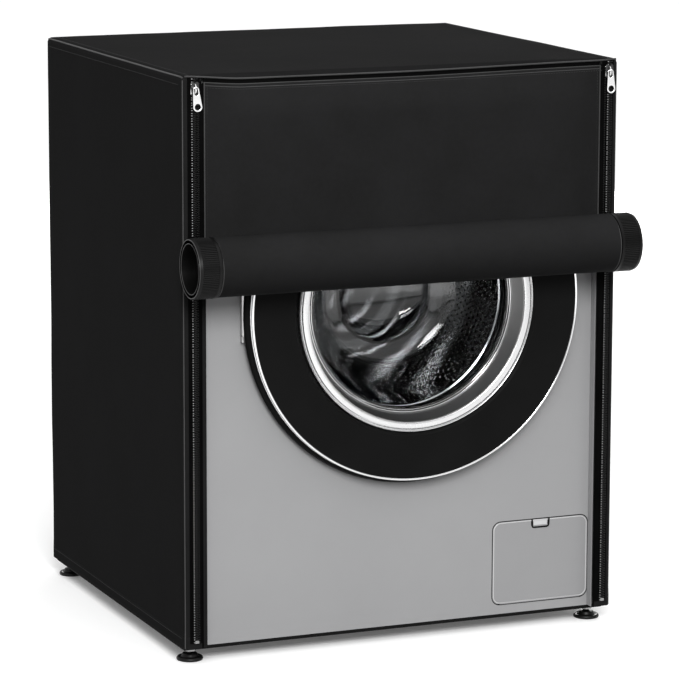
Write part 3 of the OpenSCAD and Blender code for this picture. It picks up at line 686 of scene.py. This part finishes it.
def arc(cx, cy, r, a0, a1, n):
    """Points of a circle from angle a0 to a1, in degrees."""
    angles = [math.radians(a0 + (a1 - a0) * i / n) for i in range(n + 1)]
    return [(cx + r * math.cos(a), cy + r * math.sin(a)) for a in angles]


def rounded_block(lo, hi, r):
    """Verts and faces of a block whose edges are rounded."""
    bm = bmesh.new()
    bmesh.ops.create_cube(bm, size=1)
    for v in bm.verts:
        v.co = Vector([lo[i] + (hi[i] - lo[i]) * (v.co[i] + 0.5) for i in range(3)])
    bmesh.ops.bevel(bm, geom=bm.edges[:], offset=r, segments=2, affect="EDGES", profile=0.5)
    verts, faces = [v.co.copy() for v in bm.verts], [tuple(v.index for v in f.verts) for f in bm.faces]
    bm.free()
    return verts, faces


for side, label in ((-1, "left"), (1, "right")):
    lo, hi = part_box("zip_slider_" + label)
    aside = -1.9 * MM if side < 0 else 4.0 * MM
    cx, z0, z1 = (lo.x + hi.x) / 2 + aside, lo.z - 2.0 * MM, hi.z - 2.0 * MM
    body = Batch()
    # the shield: wide at the top, where it takes the two tapes, and narrower below
    half = [(4.0, 0), (5.0, 1.2), (5.4, 5), (6.0, 11), (6.0, 15.5), (5.2, 18.4), (3.0, 19.6), (0.9, 18.2)]
    shape = [(x * MM, y * MM) for x, y in half] + [(-x * MM, y * MM) for x, y in reversed(half)]
    to_front = Matrix.Translation((cx, off(3.3 * MM), z0)) @ UPRIGHT
    plate = outline_solid("zip_slider_shield_" + label, [shape], 1.7 * MM, 0.5 * MM, M["zip_slider"],
                          to_front)
    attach(plate, "zip_slider_" + label)
    for s in (-1, 1):
        body.add(*rounded_block((cx + s * 5.3 * MM - 0.75 * MM, off(3.6 * MM), z0 + 2.5 * MM),
                                (cx + s * 5.3 * MM + 0.75 * MM, off(0.3 * MM), z0 + 17 * MM), 0.35 * MM))
    crown = [(cx, off((3.8 + 4.3 * math.sin(math.radians(a))) * MM),
              z0 + (9.6 - 6.6 * math.cos(math.radians(a))) * MM) for a in range(0, 181, 12)]
    body.add(*tube(crown, 0.95 * MM, 10))
    body.make("zip_slider_crown_" + label, M["zip_metal"], "zip_slider_" + label, "zip_metal")
    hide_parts("zip_slider_" + label)
    # the tab hangs a little askew from the crown
    plo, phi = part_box("zip_puller_" + label)
    px, pz = (plo.x + phi.x) / 2 + aside, phi.z - 3.4 * MM
    outer = (arc(0, -25.5 * MM, 6.6 * MM, 190, 350, 20) + [(5.0 * MM, -8 * MM), (4.5 * MM, -2 * MM)]
             + arc(0, -1.6 * MM, 4.2 * MM, 10, 170, 12) + [(-4.5 * MM, -2 * MM), (-5.0 * MM, -8 * MM)])
    hole = arc(0, -25.5 * MM, 4.4 * MM, 0, 345, 23)
    slot_hole = arc(0, -1.4 * MM, 2.7 * MM, 0, 180, 10) + arc(0, -6.8 * MM, 2.7 * MM, 180, 360, 10)
    askew = math.radians(-6.0 if side < 0 else -2.5)
    tilt = Matrix.Translation((px, off(7.2 * MM), pz)) @ Matrix.Rotation(askew, 4, "Y") @ UPRIGHT
    tab = outline_solid("zip_puller_tab_" + label, [outer, hole, slot_hole], 1.7 * MM, 0.45 * MM,
                        M["zip_metal"], tilt)
    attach(tab, "zip_puller_" + label)
    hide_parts("zip_puller_" + label)

# ---- The flap ----

FLAP_TOP = TOP - 8.2 * MM
LEAN_Z = TOP - 58 * MM
FLAP_T = 1.2 * MM
FLAP_END = ROLL_Z + 3 * MM


def flap_off(x, z):
    """How far the flap's face stands in front: its sides hang straight and its middle bears on the door."""
    full = FRONT - FLAP_Y
    start = 4.6 * MM
    t = min(max((FLAP_TOP - z) / (FLAP_TOP - LEAN_Z), 0.0), 1.0)
    reach = max(smooth((FLAP_W - abs(x)) / 0.045), 0.84 * smooth((ROLL_Z + 0.03 - z) / 0.026))
    return start + (full - start) * (1 - (1 - t) ** 1.6) * reach


def flap_face(x, z, lift=0.0):
    edge = smooth((FLAP_W - abs(x)) / 0.04) * smooth((FLAP_TOP - z) / 0.05) * smooth((z - FLAP_END) / 0.05)
    p = Vector((x, 0, z))
    slack = (noise.noise(p * 6 + Vector((9, 2, 4))) * 0.9 + noise.noise(p * 21) * 0.25) * MM
    drop = sag(x) * smooth((z - FLAP_TOP + 0.06) / 0.055)
    return Vector((x, off(flap_off(x, z) - 0.6 * MM + slack * edge * 0.6 + lift), z - drop))


flap_z = [FLAP_TOP - d * MM for d in (0, 0.7, 2, 4, 7, 11)]
flap_z += [FLAP_TOP - 0.016 - (FLAP_TOP - 0.016 - FLAP_END) * k / 40 for k in range(41)]
flap_x = [-FLAP_W + 2 * FLAP_W * i / 60 for i in range(61)]
rows = [[flap_face(x, z) for z in reversed(flap_z)] for x in flap_x]
flap = make("flap_cloth", *shell(rows, FLAP_T), M["flap"], None, "cover_fabric")
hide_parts("flap_sheet")

FLAP_PIECES = [flap]
for side, label in ((-1, "left"), (1, "right")):
    x = side * (FLAP_W - 0.9 * MM)
    edge = tube([flap_face(x, z, 0.3 * MM) for z in flap_z], 0.95 * MM)
    # the hem cord's light grey is painted highlight along the flap's side
    FLAP_PIECES.append(make("flap_hem_" + label, *edge, M["piping"], None, "cover_fabric"))
    rows = [[flap_face(side * (FLAP_W + d * MM), z, -0.5 * MM) for z in reversed(flap_z[2:])]
            for d in (-1.5, 3, 7.5)]
    if side < 0:
        rows = rows[::-1]
    FLAP_PIECES.append(make("flap_zip_tape_" + label, *shell(rows, 0.5 * MM), M["zip_tape"], None, "zip_tape"))
    teeth = Batch()
    z = flap_z[3]
    while z > FLAP_END + 2 * MM:
        centre = flap_face(side * (FLAP_W + 7.8 * MM), z, -0.2 * MM)
        teeth.bead(centre, ACROSS, UP, OUT, 2.6 * MM, 1.15 * MM, 1.5 * MM)
        z -= TOOTH_PITCH
    FLAP_PIECES.append(teeth.make("flap_zip_teeth_" + label, M["zip_tooth"], None, "zip_tape"))
sewn = Batch()
row = [flap_face(x, FLAP_TOP - 7.4 * MM, 0.1 * MM) for x in flap_x]
stitches(sewn, row, OUT, 4.0 * MM, 3.2 * MM, 0.6 * MM, 0.5 * MM)
for side in (-1, 1):
    stitches(sewn, [flap_face(side * (FLAP_W - 5 * MM), z, 0.1 * MM) for z in flap_z[3:]], OUT)
FLAP_PIECES.append(sewn.make("flap_stitching", M["thread"], None, "cover_fabric"))
ridges = Batch()
# two light cords: painted highlight along the flap's top hem
for drop, radius in ((0.4, 0.7), (4.6, 0.6)):
    ridges.add(*tube([flap_face(x, FLAP_TOP - drop * MM, 0.1 * MM) for x in flap_x], radius * MM))
top_hem = ridges.make("flap_top_hem", M["piping"], "flap", "cover_fabric")

for ob in FLAP_PIECES:
    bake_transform(ob)

# The strip between the cover's front piping and the flap, bent in a shallow curve.
path = [(2.4, 1.6), (1.7, 3.0), (1.3, 4.4), (1.2, 5.8), (1.4, 7.0), (1.9, 8.2), (2.5, 9.4), (2.9, 10.8)]
rows = [[Vector((x, off(o * MM), TOP - d * MM - sag(x))) for o, d in reversed(path)] for x in flap_x]
# its near-black tape colour is painted shade in the groove below the piping
header = make("flap_header", *shell(rows, 0.8 * MM), M["zip_tape"], None, "cover_fabric")
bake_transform(header)

# ---- The roll ----

SPIRAL_T = 1.15 * MM
SPIRAL_PITCH = 1.55 * MM
turns = 3
seg = 72
inner_r = ROLL_R - 0.5 * MM - SPIRAL_PITCH * turns
rows = []
roll_xs = [ROLL_X - ROLL_W + 1.2 * MM + (2 * ROLL_W - 2.4 * MM) * i / 60 for i in range(61)]
for k in range(turns * seg + 1):
    a = math.radians(2 + 360 * k / seg)
    r = inner_r + SPIRAL_PITCH * k / seg
    last = k > (turns - 1) * seg
    row = []
    for x in roll_xs:
        wob = noise.noise(Vector((x * 7, math.cos(a) * 1.6, math.sin(a) * 1.6))) * 0.22 * MM if last else 0
        row.append((x, ROLL_Y + (r + wob) * math.cos(a), ROLL_Z - (r + wob) * math.sin(a)))
    rows.append(row)
rolled = make("rolled_cloth", *shell(rows, SPIRAL_T), M["flap"], "roll", "cover_fabric")
tidy(rolled)
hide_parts("flap_roll")
# the roll's hem cords: light grey as painted highlight
hems = Batch()
HEM_R = ROLL_R - 0.75 * MM
for side in (-1, 1):
    x = ROLL_X + side * (ROLL_W - 1.9 * MM)
    edge = [(x, ROLL_Y + u, ROLL_Z - v) for u, v in arc(0, 0, HEM_R, 0, 354, 59)]
    hems.add(*tube(edge, 0.8 * MM, closed=True))
roll_hems = hems.make("rolled_cloth_hems", M["piping"], "roll", "cover_fabric")

# Each end cap's flat face, with a fine raised rim at its outer and inner edges. The rims' light grey is painted
# highlight on the caps' edges.
cap_lo, cap_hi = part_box("roller_end_caps")
CAP_R = (cap_hi.z - cap_lo.z) / 2 - 1.5 * MM
CAP_HOLE = CAP_R - 6 * MM
CAP_N = 96                                          # points round an end cap
cap_faces, cap_rims = Batch(), Batch()


def around(x, r):
    """Points of a circle about the roll's axis."""
    angles = [2 * math.pi * k / CAP_N for k in range(CAP_N)]
    return [(x, ROLL_Y + r * math.cos(a), ROLL_Z + r * math.sin(a)) for a in angles]


for side, x in ((-1, cap_lo.x), (1, cap_hi.x)):
    near, far = x + side * 0.05 * MM, x + side * 0.3 * MM
    inner, outer = CAP_HOLE + 0.3 * MM, CAP_R - 0.3 * MM
    quads = []
    for i in range(4):
        a, b = i * CAP_N, (i + 1) % 4 * CAP_N
        quads += [(a + k, a + (k + 1) % CAP_N, b + (k + 1) % CAP_N, b + k) for k in range(CAP_N)]
    cap_faces.add(around(near, inner) + around(far, inner) + around(far, outer) + around(near, outer), quads)
    cap_rims.add(*tube(around(x + side * 0.1 * MM, CAP_R - 0.35 * MM), 0.65 * MM, closed=True))
    cap_rims.add(*tube(around(x + side * 0.1 * MM, CAP_HOLE + 0.35 * MM), 0.5 * MM, closed=True))
tidy(cap_faces.make("roll_cap_faces", M["cap_face"], "roll", "roll_cap"))
tidy(cap_rims.make("roll_cap_rims", M["cap_rim"], "roll", "roll_cap"))

# ---- The door's glass and the drum ----

BEZ_LO, BEZ_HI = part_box("door_inner_bezel")
BEZ_R, BEZ_F = (BEZ_HI.x - BEZ_LO.x) / 2, FRONT - BEZ_LO.y


def rings(name, material, body, slot, *profiles):
    """Turned pieces gathered into one mesh. Each profile is in millimetres, as (radius, distance in front)."""
    b = Batch()
    for p in profiles:
        b.add(*lathe([(r * MM, h * MM) for r, h in p]))
    return tidy(b.make(name, material, body, slot))


R, F = BEZ_R / MM, BEZ_F / MM
band = rings("door_bezel_band", M["door_band"], "door", "door_chrome", [
    (R - 13.6, F - 1.8), (R - 13.3, F - 0.7), (R - 12.4, F - 0.1), (R - 11.6, F), (R - 5.8, F), (R - 5.1, F - 0.3),
    (R - 4.8, F - 1.0), (R - 4.7, F - 5.5), (R - 3.5, F - 5.5), (R - 3.4, F - 1.2), (R - 2.9, F - 0.6),
    (R - 2.2, F - 0.9), (R - 1.9, F - 3.4), (R - 1.3, F - 3.4), (R - 1.2, F - 1.5), (R - 0.6, F - 1.1),
    (R, F - 2.2), (R, -13.7), (R - 3, -13.7), (R - 3.2, F - 6.4), (R - 12.5, F - 6.4), (R - 12.5, F - 4.2)])
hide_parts("door_inner_bezel")
rings("door_bezel_cone", M["door_cone"], "door", "door_chrome", [
    (R - 12.9, F - 2.4), (R - 14.2, F - 2.0), (R - 15.0, F - 3.2), (R - 22.6, -12.6), (R - 23.4, -13.5),
    (R - 20.6, -13.7), (R - 13.2, F - 4.6)])
rings("door_glass_rim", M["door_chrome"], "door", "door_chrome",
      arc(R - 24.4, -13.0, 0.75, 0, 324, 9), arc(R - 27.4, -13.4, 0.5, 0, 315, 7))
R, F = (trim_hi.x - trim_lo.x) / 2 / MM, (FRONT - trim_lo.y) / MM
rim = rings("door_trim_rim", M["door_chrome"], "door", "door_chrome", [
    (R - 4, F - 10.9), (R - 4, F - 1.3), (R - 3.6, F - 0.5), (R - 2.8, F), (R - 1.8, F - 0.1), (R - 0.9, F - 0.7),
    (R - 0.35, F - 1.8), (R - 0.2, F - 3.2), (R - 1.0, F - 3.6), (R - 1.0, F - 4.6), (R - 0.15, F - 5.0),
    (R, F - 6.4), (R, F - 9.8), (R - 0.4, F - 10.9)])
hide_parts("door_trim_ring")


def by_mm(radius, depth, pairs):
    """Points counted from (radius, depth) by pairs in millimetres."""
    return [(radius + r * MM, depth + d * MM) for r, d in pairs]


glass_lo, glass_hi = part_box("door_glass")
G = (glass_hi.x - glass_lo.x) / 2 - 9 * MM          # radius of the glass where it meets the bezel
GLASS_T = 5 * MM
DOME_R = 76 * MM
bowl_out = by_mm(G, 0, [(9, -14.2), (9, -17), (-3, -17), (-7, -24), (-16, -48), (-28, -74), (-38, -90),
                        (-44, -99), (-52, -106), (-62, -110), (-74, -112), (-81, -114)])
quarter = [math.radians(a) for a in range(6, 91, 6)]
dome = [(DOME_R * math.cos(a), (-116 - 28 * math.sin(a)) * MM) for a in quarter]
dome_in = [((DOME_R - GLASS_T) * math.cos(a), (-111 - 28 * math.sin(a)) * MM) for a in reversed(quarter)]
bowl_in = [(r - GLASS_T, o + GLASS_T) for r, o in reversed(bowl_out[4:])]
profile = bowl_out + dome + dome_in + bowl_in + by_mm(G, 0, [(-12, -24), (-7, -17), (-6, -14.2)])
bowl = tidy(make("door_glass_bowl", *lathe(profile), M["door_glass"], "door", "door_glass"))
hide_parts("door_glass")

drum_lo, drum_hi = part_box("drum")
DRUM_R = (drum_hi.x - drum_lo.x) / 2 - 1.5 * MM
DRUM_BACK = drum_hi.y
DRUM_FRONT = drum_lo.y
MOUTH_R = 152 * MM
WALL_Y0 = DRUM_FRONT + 24 * MM
WALL_Y1 = DRUM_BACK - 10 * MM


def drum_xyz(r, a, y):
    return Vector((DOOR_X + r * math.cos(a), y, DOOR_Z + r * math.sin(a)))


columns = 150
HOLE = 1.9 * MM                                     # radius of a hole
n_rows = int((WALL_Y1 - WALL_Y0) / (9.2 * MM))
pitch_y = (WALL_Y1 - WALL_Y0) / n_rows
step_a = 2 * math.pi / columns
verts, faces, index = [], [], {}


def vertex(key, point):
    if key not in index:
        index[key] = len(verts)
        verts.append(point)
    return index[key]


for j in range(n_rows):
    for i in range(columns):
        c2 = 2 * i + (j % 2)                        # half-column index of the cell's left edge
        ac = (c2 + 1) * step_a / 2
        yc = WALL_Y0 + (j + 0.5) * pitch_y
        ring_keys = [(c2, 2 * j), (c2 + 1, 2 * j), (c2 + 2, 2 * j), (c2 + 2, 2 * j + 1), (c2 + 2, 2 * j + 2),
                     (c2 + 1, 2 * j + 2), (c2, 2 * j + 2), (c2, 2 * j + 1)]
        outer = [vertex(("g", u % (2 * columns), v), drum_xyz(DRUM_R, u * step_a / 2, WALL_Y0 + v * pitch_y / 2))
                 for u, v in ring_keys]
        lip, deep = [], []
        for k in range(8):
            ang = math.radians(225 + 45 * k)
            da, dy = HOLE * math.cos(ang) / DRUM_R, HOLE * math.sin(ang)
            lip.append(vertex(("h", i, j, k), drum_xyz(DRUM_R + 0.35 * MM, ac + da, yc + dy)))
            deep.append(vertex(("d", i, j, k), drum_xyz(DRUM_R + 1.3 * MM, ac + da * 0.9, yc + dy * 0.9)))
        for k in range(8):
            n = (k + 1) % 8
            faces.append((outer[k], outer[n], lip[n], lip[k]))
            faces.append((lip[k], lip[n], deep[n], deep[k]))
wall = make("drum_perforated_wall", verts, faces, M["drum"], "drum", "drum")
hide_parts("drum")

# The front and back of the drum, turned, with a rolled mouth and pressed ribs. The back plate's steel is a darker
# copy, as painted shade deep in the drum.
WALL_T = 1.4 * MM
front_profile = ([(DRUM_R, WALL_Y0)]
                 + by_mm(DRUM_R, DRUM_FRONT, [(0, 21), (-3, 15.5), (-10, 13.5), (-22, 14), (-27, 17), (-34, 17),
                                              (-39, 14)])
                 + by_mm(MOUTH_R, DRUM_FRONT, [(9, 13.5), (5, 12), (2.2, 7), (0.6, 3.4), (1.0, 1.2), (3, 0.3),
                                               (5, 1.6), (5.4, 6), (7, 11.6)])
                 + by_mm(DRUM_R, DRUM_FRONT, [(-10, 11.9), (-1, 14.5), (1.4, 20)]) + [(DRUM_R + WALL_T, WALL_Y0)])
tidy(make("drum_front_ring", *lathe([(r, FRONT - y) for r, y in front_profile]), M["drum"], "drum", "drum"))
back_profile = ([(DRUM_R, WALL_Y1)] + by_mm(DRUM_R, DRUM_BACK, [(-2, -4), (-8, -2)])
                + by_mm(0, DRUM_BACK, [(190, -2), (184, -6), (150, -7), (144, -3), (96, -3), (84, -12), (40, -15),
                                       (0, -16), (0, -14.5), (40, -13.5), (84, -10.5), (96, -1.5), (146, -1.5),
                                       (152, -5.5), (184, -4.5), (190, -0.5)])
                + by_mm(DRUM_R, DRUM_BACK, [(-7, -0.5), (1.4, -3)]) + [(DRUM_R + WALL_T, WALL_Y1)])
tidy(make("drum_back_plate", *lathe([(r, FRONT - y) for r, y in back_profile]), M["drum_back"], "drum", "drum"))

# ---- The service hatch: its latch, and lines round it of painted shadow and painted highlight ----

hatch_lo, hatch_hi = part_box("service_hatch")
HX = (hatch_lo.x + hatch_hi.x) / 2
# the latch tab is pale: painted highlight
tab_shape = [(-11.6, -7.0), (-10.6, -7.9), (10.6, -7.9), (11.6, -7.0), (12.4, -0.6), (-12.4, -0.6)]
tab_place = Matrix.Translation((HX, PANEL + 1.0 * MM, hatch_hi.z)) @ UPRIGHT
latch = outline_solid("hatch_latch_tab", [[(x * MM * 0.94, y * MM * 1.3) for x, y in tab_shape]],
                      1.6 * MM, 0.4 * MM, M["hatch_lip"], tab_place)
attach(latch, "service_hatch")


def hatch_loop(grow, radius, y):
    """Points round the hatch's outline, made larger by grow, with rounded corners."""
    x0, x1 = hatch_lo.x - grow + radius, hatch_hi.x + grow - radius
    z0, z1 = hatch_lo.z - grow + radius, hatch_hi.z + grow - radius
    pts = []
    for cx, cz, a in ((x1, z1, 0), (x0, z1, 90), (x0, z0, 180), (x1, z0, 270)):
        pts += [(x, y, z) for x, z in arc(cx, cz, radius, a, a + 90, 10)]
    return pts


HATCH_R = 13 * MM
# a black cord in the gap round the hatch: painted shadow
gap = tube(hatch_loop(0.4 * MM, HATCH_R, PANEL + 0.6 * MM), 0.95 * MM, closed=True)
make("hatch_gap_painted_shadow", *gap, M["base"], "root", "hatch")
# a pale cord inside the outline: painted highlight on the hatch's edge
lip = tube(hatch_loop(-1.9 * MM, HATCH_R - 2 * MM, PANEL + 0.25 * MM), 0.75 * MM, closed=True)
make("hatch_lip", *lip, M["hatch_lip"], "service_hatch", "hatch")
# a black U round the latch's notch: painted shadow
notch = [(HX + x * MM, PANEL + 0.2 * MM, hatch_hi.z - d * MM) for x, d in (
    (-13.6, 1.0), (-13.2, 9.5), (-12.2, 11.6), (-10.0, 12.2), (10.0, 12.2), (12.2, 11.6), (13.2, 9.5), (13.6, 1.0))]
make("hatch_notch_painted_shadow", *tube(notch, 1.4 * MM), M["base"], "service_hatch", "hatch")

# ---- The cabinet's rounded front corners, on both sides of the panel ----

panel_lo, panel_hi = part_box("front_panel")
LOW, TALL = panel_lo.z + 0.5 * MM, panel_hi.z - panel_lo.z - 1.0 * MM
turn = [(BORDER - 0.62 * MM, PANEL - 0.2 * MM)]
turn += [(BORDER + x * MM, off(o * MM)) for x, o in (
    (-0.6, -12), (-0.5, -6), (-0.4, -4.6), (-0.1, -4.2), (0.4, -4.3), (1.0, -5.2))]
for side, label in ((-1, "left"), (1, "right")):
    rows = [[Vector((side * x, y, LOW + TALL * k / 40)) for k in range(41)] for x, y in turn[::side]]
    tidy(make("cabinet_corner_" + label, *shell(rows, 0.5 * MM), M["cabinet"], "root", "cabinet"))

# ---- The feet ----

for label in ("front_left", "front_right", "back_left", "back_right"):
    lo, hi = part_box("foot_" + label)
    cx, cy, r = (lo.x + hi.x) / 2, (lo.y + hi.y) / 2, (hi.x - lo.x) / 2
    p = [(0, 0)] + by_mm(r, 0, [(-2, 0), (-0.4, 0.6), (0, 2), (-0.3, 3.6), (-1.6, 4.9), (-4, 5.1), (-5, 4.6)])
    p += by_mm(0, 0, [(12.4, 5.0), (11.6, 6.0), (11.2, 8.2), (10.2, 9.4), (6.2, 9.7)])
    z = 10.0                                        # the thread
    while z < 32:
        p += by_mm(0, 0, [(4.35, z), (4.95, z + 0.6)])
        z += 1.2
    p += by_mm(0, 0, [(4.2, 33.4), (0, 34)])
    foot = tidy(make("foot_%s_turned" % label, *lathe(p, (cx, cy), 64, axis="z"), M["foot"], "foot_" + label, "foot"))
    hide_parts("foot_" + label)

# ---- CAD nodes that stay ----

slot_of = {s["node"]: s["material_slot"] for s in frame["record"]["subparts"]}
BEVELS = {"service_hatch": 0.7, "front_panel": 0.35, "worktop": 1.5, "control_fascia": 0.4, "detergent_drawer": 0.6,
          "program_knob": 0.5, "base_pan": 0.8, "counterweight": 4, "motor": 1, "drum_lifters": 2.5,
          "drain_pump": 0.4, "pump_filter_cap": 0.8, "door_lock": 0.6, "drum_spider": 2}
for name, ob in frame["nodes"].items():
    if ob.hide_render:
        continue
    for s in ob.material_slots:
        s.material = M[slot_of[name]]
    if name in BEVELS:
        b = ob.modifiers.new("round", "BEVEL")
        b.width, b.segments = BEVELS[name] * MM, 2
        b.limit_method, b.angle_limit = "ANGLE", math.radians(35)
        b.harden_normals = True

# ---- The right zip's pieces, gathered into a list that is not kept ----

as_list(zip_parts["right"])

# ---- Floor, light and camera ----

floor_mesh = bpy.data.meshes.new("studio_floor")
S = 60                                              # half the floor's width
floor_mesh.from_pydata([(-S, -S, 0), (S, -S, 0), (S, S, 0), (-S, S, 0)], [], [(0, 1, 2, 3)])
floor = bpy.data.objects.new("studio_floor", floor_mesh)
scene.collection.objects.link(floor)
m, t, s = node_tree("studio_floor_paint")
s.inputs["Base Color"].default_value = (0.95, 0.95, 0.95, 1)
set_inputs(s, Roughness=0.9, Specular_IOR_Level=0.1, Emission_Strength=0.1)
s.inputs["Emission Color"].default_value = (1, 1, 1, 1)
floor_mesh.materials.append(m)
floor.location.z = -0.2 * MM
floor.visible_diffuse = False

world = bpy.data.worlds.new("studio")
scene.world = world
world.use_nodes = True
sky = world.node_tree
direction = sky.nodes.new("ShaderNodeTexCoord")
split = sky.nodes.new("ShaderNodeSeparateXYZ")
sky.links.new(direction.outputs["Generated"], split.inputs["Vector"])
horizon = ramp(sky, split.outputs["Z"], grey(0.14), grey(1.0), 0.0, 0.06)
sky.links.new(horizon, sky.nodes["Background"].inputs["Color"])
sky.nodes["Background"].inputs["Strength"].default_value = 0.72


def area(name, place, aim, size, power):
    light = bpy.data.lights.new(name, "AREA")
    light.shape, light.size, light.size_y, light.energy = "RECTANGLE", size[0], size[1], power
    ob = bpy.data.objects.new(name, light)
    scene.collection.objects.link(ob)
    ob.location = place
    ob.rotation_euler = (Vector(aim) - Vector(place)).to_track_quat("-Z", "Y").to_euler()
    return ob


sun = bpy.data.lights.new("overhead", "SUN")
sun.energy, sun.angle = 0.9, math.radians(70)
sun_ob = bpy.data.objects.new("overhead", sun)
scene.collection.objects.link(sun_ob)
sun_ob.rotation_euler = (math.radians(18), math.radians(6), 0)
area("key_softbox", (-1.0, -4.0, 2.4), (0, -0.2, 0.5), (1.6, 1.4), 150)
area("back_softbox", (2.2, 4.0, 0.55), (0, 0.2, 0.45), (2.0, 0.9), 45)
area("window_softbox", (-1.4, -2.4, 1.9), (0, -0.2, 0.5), (0.5, 0.8), 12)

# The camera, fitted to the photo.
AZ, EL, ROLL = math.radians(-22.585), math.radians(10.387), math.radians(0.128)
DISTANCE = 5.2522
target = Vector((0.0048, 0.0015, 0.4011))
back = Vector((math.sin(AZ) * math.cos(EL), -math.cos(AZ) * math.cos(EL), math.sin(EL)))
cam = bpy.data.cameras.new("camera")
cam.lens, cam.sensor_width = 188.0, 36.0
cam.clip_end = 200
cam_ob = bpy.data.objects.new("camera", cam)
scene.collection.objects.link(cam_ob)
cam_ob.location = target + back * DISTANCE
right = Vector((0, 0, 1)).cross(back).normalized()
up = back.cross(right)
right2 = right * math.cos(ROLL) + up * math.sin(ROLL)
up2 = back.cross(right2)
cam_ob.rotation_euler = Matrix((right2, up2, back)).transposed().to_euler()
scene.camera = cam_ob
